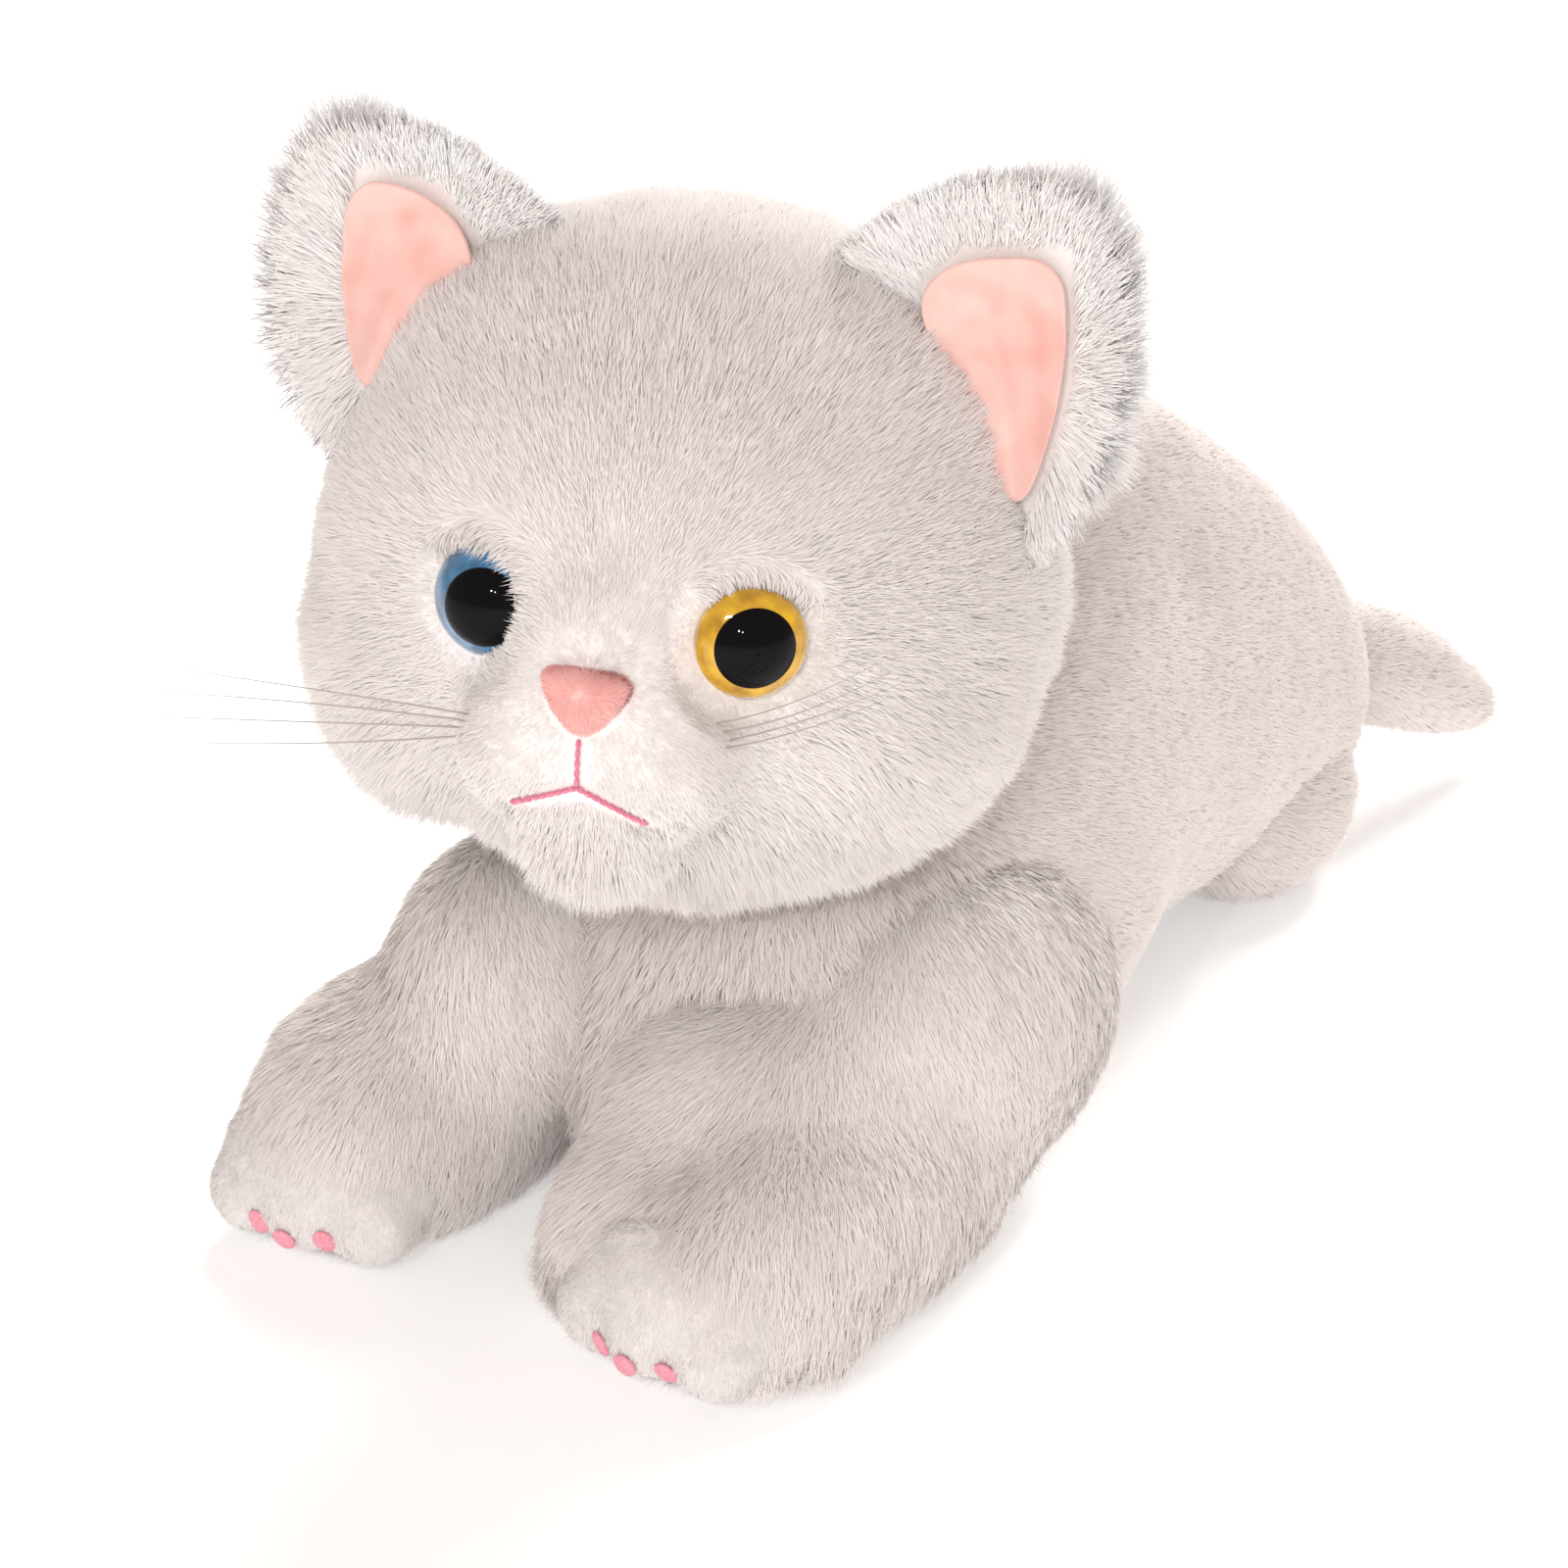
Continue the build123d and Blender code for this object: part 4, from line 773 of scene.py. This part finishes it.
NOSE_OUTLINE = [
    *((-8.6, 4.2), (-6.4, 6.2), (6.4, 6.2), (8.6, 4.2)),
    *((6.0, -1.5), (2.2, -6.6), (-2.2, -6.6), (-6.0, -1.5)),
]
nose_rim = rounded(NOSE_OUTLINE, 64) * 0.86
rows = []
for share in np.linspace(0.04, 1, 14):
    ring = nose_rim * share
    bulge = -3.6 * np.sqrt(np.maximum(0, 1 - share**2.4))
    rows.append(np.stack([ring[:, 0], bulge - 0.12 * ring[:, 1], ring[:, 1]], 1))
rows.append(np.stack([nose_rim[:, 0] * 0.9, np.full(64, 2.5), nose_rim[:, 1] * 0.9], 1))
ends = np.array([[0, -3.6, 0], [0, 2.5, 0]])
nose_points = np.concatenate(rows + [ends]) + (0, -57.4, -13.2)
nose = make_object("nose_skin", make_mesh("nose_skin", from_head(nose_points), tube_faces(len(rows), 64)), [])
nose.data.materials.append(ROSE[0])
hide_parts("nose")
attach(nose, "head")


def nose_field(p, n):
    q = to_head(p)
    out = np.stack([q[:, 0], 0 * q[:, 0], q[:, 2] + 11.0], 1)
    return {
        "length": 1.25,
        "lean": 0.85,
        "comb": out @ HEAD_TURN.T,
        "density": np.where(to_head(HEAD_CENTRE + n)[:, 1] < 0.3, 1.0, 0.0),
        "stray": 0.25,
        "gather": 0.1,
    }


grow(nose, "nose_pile", "head", 26.0, nose_field, 21, thick=0.14, coats=ROSE)

tree = BVHTree.FromObject(head, bpy.context.evaluated_depsgraph_get())
stitch_forms = []
for start, end in MOUTH:
    start, end = np.array(start), np.array(end)
    count = int(np.linalg.norm(end - start) / 1.35)
    for index in range(count):
        x, z = start + (end - start) * (index + 0.5) / count
        ahead, behind = from_head([x, -90, z]), from_head([x, -20, z])
        hit, normal, _, _ = tree.ray_cast(Vector(ahead * MM), Vector(behind - ahead))
        hit, normal = np.array(hit) / MM, np.array(normal)
        along = HEAD_TURN @ np.array([end[0] - start[0], 0, end[1] - start[1]])
        along = unit(along - normal * (along @ normal))
        basis = np.stack([along, np.cross(normal, along), normal], 1)
        points, faces = ball((0, 0, 0), (0.86, 0.44, 0.5), rings=10, segments=16)
        stitch_forms.append((points @ basis.T + hit + normal * 0.55, faces))
rose_thread = textured("thread_rose", (0.66, 0.14, 0.26), (0.82, 0.32, 0.42), 1800, 0.55, 0.4, 0.2)
mouth = make_object("mouth_stitches", make_mesh("mouth_stitches", *joined(stitch_forms)), [rose_thread])
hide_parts("mouth_stitching")
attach(mouth, "head")

WHISKERS = [  # root, middle and tip in the head's frame
    ((20, -52, -15), (33, -57, -8), (44.5, -51, -1.5)),
    ((21, -51, -16.5), (34, -55, -10), (46.5, -49.5, -3)),
    ((22, -50, -18), (35, -53, -11.5), (48, -48, -5)),
    ((21, -50, -19.5), (33, -53, -14), (45.5, -49, -8)),
    ((-20, -52, -20), (-45, -52, -20), (-72, -44, -23)),
    ((-21, -51, -21.5), (-46, -50, -23), (-76, -42, -28)),
    ((-22, -50, -23), (-47, -49, -26.5), (-76, -43, -32)),
    ((-21, -49, -24.5), (-45, -48, -30), (-71, -42, -36)),
]
whisker_forms = []
for root, middle, tip in WHISKERS:
    root, middle, tip = (np.array(v, float) for v in (root, middle, tip))
    sections = []
    for t in np.linspace(0, 1, 15):
        place = root * (1 - t) ** 2 + (2 * middle - (root + tip) / 2) * 2 * t * (1 - t) + tip * t * t
        radius = 0.2 * (1 - t) + 0.05 * t
        deep, tall = HEAD_TURN[:, 1] * radius, HEAD_TURN[:, 2] * radius
        sections.append((from_head(place), deep, tall))
    whisker_forms.append(loft(sections, 8))
clear = material("whisker_clear", (0.46, 0.42, 0.39), 0.3)
whiskers = make_object("whisker_hairs", make_mesh("whisker_hairs", *joined(whisker_forms)), [clear])
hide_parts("whiskers")
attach(whiskers, "head")

# ---------------------------------------------------------------- ears

EAR_OUTLINE = [
    *((22, 49), (33, 60), (46, 66.5), (58, 67), (66.5, 60)),
    *((69.5, 44), (68, 26), (61, 8), (44, 2), (30, 30)),
]
LININGS = {
    "left": [(36.5, 48.0), (43.5, 55.5), (61.0, 57.5), (62.8, 36.0), (58.0, 12.5), (46.5, 31.0)],
    "right": [(35.0, 43.0), (45.0, 54.5), (59.0, 55.5), (60.5, 40.0), (56.0, 18.0), (47.5, 25.5)],
}
EAR_Y = -8.0


def inside(x, z, outline):
    """Whether points lie inside a closed outline."""
    line = np.array(outline, float)
    result = np.zeros(len(x), bool)
    for (x1, z1), (x2, z2) in zip(line, np.roll(line, -1, axis=0)):
        crosses = (z1 > z) != (z2 > z)
        at = x1 + (z - z1) * (x2 - x1) / (z2 - z1 + 1e-12)
        result ^= crosses & (x < at)
    return result


def ear_shell(side, sign):
    """Ear of two cloth layers, hollow in front and full behind."""
    rim = rounded(EAR_OUTLINE, 72)
    if side == "right":
        rim[:, 1] -= 4.0 * ramp(rim[:, 1], 46, 62)
    heart = rim.mean(0)
    rows = []
    outward = [(s, True) for s in np.linspace(0.06, 1, 12)]
    inward = [(s, False) for s in np.linspace(1, 0.06, 12)]
    for share, front in outward + inward:
        ring = heart + (rim - heart) * share
        if front:
            y = EAR_Y - 1.5 + 3.8 * (1 - share**2)
        else:
            y = EAR_Y + 0.5 + 6.5 * (1 - share**2.2)
        rows.append(np.stack([sign * ring[:, 0], np.full(72, y), ring[:, 1]], 1))
    ends = np.array([[sign * heart[0], EAR_Y + 2.3, heart[1]], [sign * heart[0], EAR_Y + 7.0, heart[1]]])
    faces = tube_faces(len(rows), 72)
    if sign < 0:
        faces = [f[:, ::-1] for f in faces]
    return np.concatenate(rows + [ends]), faces, heart


def ear_field(side, sign, heart):
    lining = LININGS[side]

    def field(p, n):
        q = to_head(p)
        x, y, z = sign * q[:, 0], q[:, 1], q[:, 2]
        facing = -(to_head(HEAD_CENTRE + n)[:, 1])
        bare = inside(x, z, lining) & (facing > 0.2)
        outer = ramp(x, 48, 62) * ramp(z, 8, 30)
        top = ramp(z, 50, 62)
        length = 5.0 + 5.6 * outer + 0.8 * top
        length = np.where(facing > 0.3, np.minimum(length, 5.2 + 2.5 * outer), length)
        out = np.stack([sign * (x - heart[0]), 0 * y - 5.0, z - heart[1] + 4], 1)
        comb = unit(out)
        return {
            "length": length,
            "lean": np.where(facing > 0.3, 1.15, 0.85),
            "comb": comb @ HEAD_TURN.T,
            "density": np.where(bare, 0.0, 1.0),
            "stray": 0.4,
            "gather": 0.2,
            # pale moves all ear pile to the brighter tints: more painted light of the rim lights.
            "pale": 0.14,
            "frontlit": 1.1 * ramp(facing, -0.5, 0.1),
        }

    return field


satin = textured(
    *("ear_satin", (0.88, 0.47, 0.42), (0.95, 0.66, 0.60), 90, 0.5, 0.15, 0.4),
    Sheen_Weight=0.5,
    Sheen_Roughness=0.4,
)
for side, sign in (("left", 1), ("right", -1)):
    shell, faces, heart = ear_shell(side, sign)
    ear = make_object(f"{side}_ear_skin", make_mesh(f"{side}_ear_skin", from_head(shell), faces), [backing])
    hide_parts(f"{side}_ear")
    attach(ear, "head")
    field = ear_field(side, sign, heart)
    grow(ear, f"{side}_ear_pile", "head", 7.0, field, 31 + sign, steps=3, coats=EAR_FUR_PAINTED_LIGHT)

    rim = rounded(LININGS[side], 96)
    middle = rim.mean(0)
    rows = []
    for share in np.linspace(0.04, 1, 26):
        ring = middle + (rim - middle) * share
        x, z = ring.T
        dish = 3.4 * (1 - share**2)
        along = (z - middle[1]) * 0.9 + (x - middle[0]) * 0.35
        folds = 0.75 * np.sin(along * 0.55 + 1.2) * np.exp(-(((z - 49) / 9) ** 2))
        folds += 0.55 * np.exp(-(((z - 38 + 0.3 * (x - 50)) / 1.6) ** 2)) * (1 - share**4)
        folds += 0.3 * np.sin(x * 0.9 + z * 0.25) * (1 - share**3)
        y = EAR_Y - 3.4 + dish - folds
        rows.append(np.stack([sign * x, y, z], 1))
    front = np.concatenate(rows)
    back = front + (0, 0.9, 0)
    k = np.arange(96)
    after = (k + 1) % 96
    quads = np.concatenate([band(r, r + 1, 96) for r in range(25)])
    cap = np.stack([np.full(96, 52 * 96), after, k], 1)
    back_cap = np.stack([np.full(96, 52 * 96 + 1), 26 * 96 + k, 26 * 96 + after], 1)
    skirt = band(25, 51, 96)
    points = np.concatenate([front, back, front[:96].mean(0)[None], back[:96].mean(0)[None]])
    groups = [np.concatenate([quads, skirt, quads[:, ::-1] + 26 * 96]), np.concatenate([cap, back_cap])]
    if sign > 0:
        groups = [g[:, ::-1] for g in groups]
    satin_mesh = make_mesh(f"{side}_ear_satin", from_head(points), groups)
    lining = make_object(f"{side}_ear_satin", satin_mesh, [satin])
    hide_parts(f"{side}_ear_lining")
    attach(lining, "head")

# ---------------------------------------------------------------- pile of the body


def torso_field(p, n):
    x, y, z = p.T
    in_bowl = ((x - NECK_AXIS[0]) / 63) ** 2 + ((y - NECK_AXIS[1]) / 63) ** 2 + ((z - BOWL_TOP) / 57) ** 2
    deep = (in_bowl < 1.06) & (n[:, 2] > 0) & (np.hypot(x - NECK_AXIS[0], y - NECK_AXIS[1]) < 47) & (z < 120)
    chest = ramp(-y, 20, 62)
    length = 3.6 + 3.6 * chest + 1.2 * ramp(-z, -30, -8)
    comb = np.stack([0.25 * (x + 5) / 40, np.ones(len(p)), -0.35 - 0.2 * ramp(np.abs(x + 5), 20, 42)], 1)
    down = np.stack([0.5 * (x + 5) / 30, -0.4 + 0 * x, -1.0 + 0 * x], 1)
    comb = comb * (1 - chest[:, None]) + down * chest[:, None]
    under = (n[:, 2] < -0.6) & (z < 6)
    (west, south), (east, north) = WINDOW
    open_belly = (x > west - 2) & (x < east + 2) & (y > south - 2) & (y < north + 2) & (z < 12)
    hidden = np.zeros(len(p), bool)
    for forms in LEGS.values():
        for centre, yaw, radii in forms[:4]:
            local = (p - np.array(centre)) @ rotation(yaw) / np.array(radii)
            hidden |= (local**2).sum(1) < 0.86
    return {
        "length": length,
        "lean": 1.12 - 0.12 * chest,
        "comb": comb,
        "density": np.where(deep | hidden | open_belly, 0.0, np.where(under, 0.3, 1.0)),
        "stray": 0.25 + 0.35 * chest,
        "gather": 0.2 + 0.25 * chest,
    }


grow(torso, "torso_pile", "torso", 5.4, torso_field, 51, coats=BODY_FUR_PAINTED_SHADE)


def leg_field(side):
    limb, (paw_centre, paw_yaw) = LEGS[side][0], LEGS[side][-1]
    turn, paw_turn = rotation(limb[1]), rotation(paw_yaw)
    centre = np.array(limb[0], float)

    def field(p, n):
        local = (p - centre) @ turn
        paw = (p - np.array(paw_centre)) @ paw_turn
        toe = ramp(-paw[:, 1], 6.0, 10.0) * ramp(-paw[:, 2], -9.0, -3.0)
        low = ramp(-p[:, 2], -26, -6)
        front = ramp(-p[:, 1], 60, 120)
        length = 5.2 + 1.6 * front + 2.2 * low
        length = length * (1 - 0.78 * toe)
        across = np.clip((local[:, 0] + (11 if side == "left" else -2)) / 30, -1.2, 1.2)
        comb = np.stack([0.9 * across, -0.25 - 0.55 * front, -0.55 - 0.3 * low], 1)
        comb = comb @ turn.T
        into_torso = ((p[:, 0] + 4) / 40) ** 2 + ((p[:, 2] - 42) / 46) ** 2 < 0.82
        buried = into_torso & (p[:, 1] > -72)
        return {
            "length": length,
            "lean": 1.2,
            "comb": comb,
            "density": np.where(buried, 0.0, np.where(p[:, 2] < 2, 0.3, 1.0)),
            "stray": 0.22 - 0.1 * toe,
            "gather": 0.08 - 0.05 * toe,
            "loose": 0.6 - 0.2 * toe,
            "tuft_size": np.full(len(p), 3.6),
        }

    return field


for side, seed in (("left", 61), ("right", 62)):
    grow(legs[side], f"{side}_foreleg_pile", "torso", 7.6, leg_field(side), seed, thick=0.22)


SOLE_PILE = pile_tints("pile_sole", (0.955, 0.93, 0.92))
thread = textured("thread_pink", (0.84, 0.26, 0.36), (0.93, 0.46, 0.54), 1800, 0.55, 0.4, 0.2)
sole_things, pad_forms = [], []
for side in ("left", "right"):
    paw_centre, paw_yaw = LEGS[side][-1]
    paw_centre, paw_turn = np.array(paw_centre, float), rotation(paw_yaw)
    forms = [ball(paw_centre, np.array(PAW) + 1.0, paw_turn)]
    for toe in TOES:
        forms.append(ball(paw_centre + paw_turn @ np.array(toe), (8.4, 8.4, 8.0)))
    behind = ball(paw_centre + paw_turn @ np.array([0, 34.0, 12.0]), (60, 40, 60), paw_turn)
    sole = fused(f"{side}_sole", forms, 1.6, 4, cut=[behind])
    rest_on_floor(sole)
    sole.data.materials.append(backing)
    smooth_shaded(sole)
    sole_things.append(sole)
    tree = BVHTree.FromObject(sole, bpy.context.evaluated_depsgraph_get())
    for azimuth in (-24, 0, 24):
        drop = math.radians(20)
        out = paw_turn @ rotation(azimuth) @ np.array([0, -math.cos(drop), -math.sin(drop)])
        start = (paw_centre + out * 60) * MM
        hit, normal, _, _ = tree.ray_cast(Vector(start), Vector(-out))
        hit, normal = np.array(hit) / MM, np.array(normal)
        across = unit(np.cross(normal, [0, 0, 1.0]))
        upright = np.cross(across, normal)
        basis = np.stack([across, upright, normal], 1)
        points, faces = ball((0, 0, 0), (2.1, 2.5, 0.85), rings=14, segments=40)
        points[:, 2] += 0.14 * np.cos(points[:, 0] * 9.0) * (points[:, 2] > 0)
        pad_forms.append((points @ basis.T + hit + normal * 0.9, faces))
pads = make_object("toe_pad_stitches", make_mesh("toe_pad_stitches", *joined(pad_forms)), [thread])
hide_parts("toe_pads")
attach(pads, "torso")
for sole in sole_things:
    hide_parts("paw_soles")
    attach(sole, "torso")


def sole_field(p, n):
    return {
        "length": 1.5,
        "lean": 0.9,
        "comb": np.tile((0.0, -0.4, -0.9), (len(p), 1)),
        "density": np.where(n[:, 1] < 0.45, 1.0, 0.0),
        "stray": 0.3,
        "gather": 0.1,
    }


for side, sole in zip(("left", "right"), sole_things):
    name = f"{side}_sole_pile"
    grow(sole, name, "torso", 15.0, sole_field, 65, thick=0.17, coats=SOLE_PILE)


def hind_field(p, n):
    x, y, z = p.T
    comb = np.stack([0.3 * np.sign(x + 5), np.ones(len(p)), -0.5 + 0 * x], 1)
    ribs = np.array(TORSO_RIBS, float)
    wide = np.interp(y, ribs[:, 0], ribs[:, 3])
    tall = np.interp(y, ribs[:, 0], ribs[:, 4])
    up = np.interp(y, ribs[:, 0], ribs[:, 2])
    inner = ((x + 5) / wide) ** 2 + ((z - up) / tall) ** 2 < 0.86
    return {
        "length": 4.2,
        "lean": 1.0,
        "comb": comb,
        "density": np.where(inner, 0.0, np.where(z < 2, 0.3, 1.0)),
        "stray": 0.3,
        "gather": 0.25,
    }


for side, seed in (("left", 71), ("right", 72)):
    grow(haunches[side], f"{side}_hind_leg_pile", "torso", 5.2, hind_field, seed, coats=BODY_FUR_PAINTED_SHADE)

# ---------------------------------------------------------------- tail

heading = math.radians(90 - 14)
forward = np.array([math.cos(heading), math.sin(heading), 0.0])
aside = np.array([math.sin(heading), -math.cos(heading), 0.0])
tail_sections = []
for reach, height, wide, tall in (
    (14, 42, 6, 6),
    (20, 41, 10.5, 10.5),
    (30, 38.5, 12.5, 12.5),
    (42, 34.5, 13.2, 13),
    (54, 29.5, 12.8, 12.6),
    (64, 24.5, 11.2, 11),
    (73, 19.5, 8.4, 8.2),
    (80, 16, 5.0, 5.0),
    (84, 14, 2.0, 2.0),
):
    middle = np.array([TAIL_AXIS[0], TAIL_AXIS[1], height]) + forward * reach
    tail_sections.append((middle, aside * wide, np.array([0, 0, tall])))
tail = fused("tail_skin", [loft(tail_sections, 40)], 2.6, 4)
stuffed(tail, 1.2)
tail.data.materials.clear()
tail.data.materials.append(backing)
smooth_shaded(tail)
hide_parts("tail_plush")


def tail_field(p, n):
    reach = (p[:, :2] - TAIL_AXIS) @ forward[:2]
    return {
        "length": 3.8 + 1.6 * ramp(reach, 66, 80),
        "lean": 0.95 - 0.3 * ramp(reach, 70, 82),
        "comb": np.tile(forward + (0, 0, -0.35), (len(p), 1)),
        "density": np.where(reach < 22, 0.0, 1.0),
        "stray": 0.3,
        "gather": 0.3,
    }


for thing in [tail] + grow(tail, "tail_pile", None, 6.0, tail_field, 81, coats=BODY_FUR_PAINTED_SHADE):
    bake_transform(thing)

# ---------------------------------------------------------------- neck sleeve

turn = np.linspace(0, 2 * np.pi, 64, endpoint=False)
rings = []
for height, radius in ((64, 25), (68, 23.5), (72, 22), (76, 21.5), (80, 22), (84, 24)):
    wave = radius + 0.5 * np.sin(turn * 9)
    across = NECK_AXIS[0] + wave * np.cos(turn)
    along = NECK_AXIS[1] + wave * np.sin(turn)
    rings.append(np.stack([across, along, np.full(64, height)], 1))
inner = [r + (np.array([*NECK_AXIS, 0]) - r) * np.array([0.06, 0.06, 0]) for r in rings]
loop_rows = rings + inner[::-1]
quads = np.concatenate([band(r, (r + 1) % len(loop_rows), 64) for r in range(len(loop_rows))])
sleeve = make_object("neck_sleeve", make_mesh("neck_sleeve", np.concatenate(loop_rows), [quads]), [backing])
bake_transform(sleeve)

# ---------------------------------------------------------------- CAD nodes that stay

record = frame["record"]
slot_of = {s["node"]: s["material_slot"] for s in record.get("subparts", [])}
palette = {m["slot"]: m for m in record.get("materials", [])}
FINISH = {  # roughness, metallic, noise scale, relief
    "steel": (0.32, 1.0, 900, 0.05),
    "tin_plate": (0.22, 1.0, 500, 0.04),
    "brass": (0.3, 1.0, 700, 0.05),
    "acetal": (0.38, 0.0, 1200, 0.05),
    "monofilament": (0.3, 0.0, 600, 0.02),
}
made_slots = {}


def slot_material(slot):
    if slot not in made_slots:
        base = palette.get(slot, {}).get("base_color", [0.6, 0.6, 0.6])[:3]
        rough, metal, scale, bump = FINISH.get(slot, (0.5, 0.0, 1400, 0.12))
        dark = tuple(0.88 * c for c in base)
        made_slots[slot] = textured(f"cad_{slot}", dark, tuple(base), scale, rough, bump, 0.1, Metallic=metal)
    return made_slots[slot]


EYE_GLOSS = (260, 0.12, 0.1, 0.1)  # noise scale, roughness, relief and its depth
GLOSS = {
    "pupil_black": material("eye_black", (0.003, 0.003, 0.004), 0.05, Specular_IOR_Level=0.12),
    "amber_eye": textured("eye_amber", (0.42, 0.20, 0.01), (0.86, 0.52, 0.02), *EYE_GLOSS, Coat_Weight=0.5),
    "blue_eye": textured("eye_blue", (0.015, 0.07, 0.16), (0.06, 0.26, 0.50), *EYE_GLOSS, Coat_Weight=0.8),
    "short_plush": textured("sole_plush", (0.90, 0.87, 0.86), (0.96, 0.94, 0.93), 2200, 0.9, 0.5, 0.3),
    "plush": backing,
}
made_slots.update(GLOSS)
for dome, slot in EYE_DOMES:
    dome.data.materials.append(GLOSS[slot])
for name, thing in nodes.items():
    if not thing.hide_render:
        thing.data.materials.clear()
        thing.data.materials.append(slot_material(slot_of.get(name, "abs_grey")))

# ---------------------------------------------------------------- camera, floor and light

camera = bpy.data.cameras.new("camera")
camera_object = bpy.data.objects.new("camera", camera)
bpy.context.scene.collection.objects.link(camera_object)
camera.sensor_width = 36.0
camera.lens = 91.9
camera.shift_x = -0.008
camera.shift_y = 0.006
camera.clip_start = 0.01
camera.clip_end = 20
azimuth, elevation, distance = math.radians(35.2), math.radians(23.2), 0.738
aim = Vector((-0.0146, -0.0279, 0.0610))
level = math.cos(elevation)
back = Vector((math.sin(azimuth) * level, -math.cos(azimuth) * level, math.sin(elevation)))
camera_object.location = aim + back * distance
camera_object.rotation_mode = "QUATERNION"
camera_object.rotation_quaternion = (-back).to_track_quat("-Z", "Y")
bpy.context.scene.camera = camera_object

FLOOR_HALF = 9000.0
floor_points = np.array([(-1, -1, 0), (1, -1, 0), (1, 1, 0), (-1, 1, 0)], float) * FLOOR_HALF
floor = make_object("floor", make_mesh("floor", floor_points, [np.array([[0, 1, 2, 3]])]), [])
floor_paper = textured("floor_paper", (0.86, 0.86, 0.86), (0.90, 0.90, 0.90), 3, 0.9, 0.02, 0.1)
floor_paper.node_tree.nodes["Principled BSDF"].inputs["Emission Color"].default_value = (1, 1, 1, 1)
floor_paper.node_tree.nodes["Principled BSDF"].inputs["Emission Strength"].default_value = 0.35
floor.data.materials.append(floor_paper)

world = bpy.data.worlds.new("studio")
bpy.context.scene.world = world
world.use_nodes = True
world.node_tree.nodes["Background"].inputs["Color"].default_value = (1.0, 0.885, 0.83, 1)
world.node_tree.nodes["Background"].inputs["Strength"].default_value = 0.53


def area_light(name, where, target, size, power, colour=(1, 1, 1), mirrored=True):
    lamp = bpy.data.lights.new(name, "AREA")
    lamp.shape = "DISK"
    lamp.size = size
    lamp.energy = power
    lamp.color = colour
    thing = bpy.data.objects.new(name, lamp)
    bpy.context.scene.collection.objects.link(thing)
    thing.location = where
    thing.rotation_mode = "QUATERNION"
    thing.rotation_quaternion = (Vector(target) - Vector(where)).to_track_quat("-Z", "Y")
    thing.visible_glossy = mirrored
    return thing


area_light("key", (0.08, -1.4, 0.62), (0, -0.09, 0.04), 1.3, 3.4, (1, 0.93, 0.885), False)
area_light("fill", (0.85, -1.05, 0.16), (0, -0.09, 0.03), 0.9, 2.2, (1, 0.91, 0.86), False)
area_light("rim_left", (-0.6, 0.9, 1.1), (-0.02, -0.05, 0.15), 0.5, 11.5, (1, 0.99, 0.98), False)
area_light("rim_right", (0.1, 1.1, 1.2), (0.0, -0.03, 0.15), 0.5, 11.5, (1, 0.99, 0.98), False)
area_light("glint_1", (0.30, -0.75, 0.50), (0, -0.1, 0.12), 0.035, 1.0)
area_light("glint_2", (0.40, -0.72, 0.48), (0, -0.1, 0.12), 0.025, 0.45)

bpy.context.scene.view_settings.view_transform = "Standard"
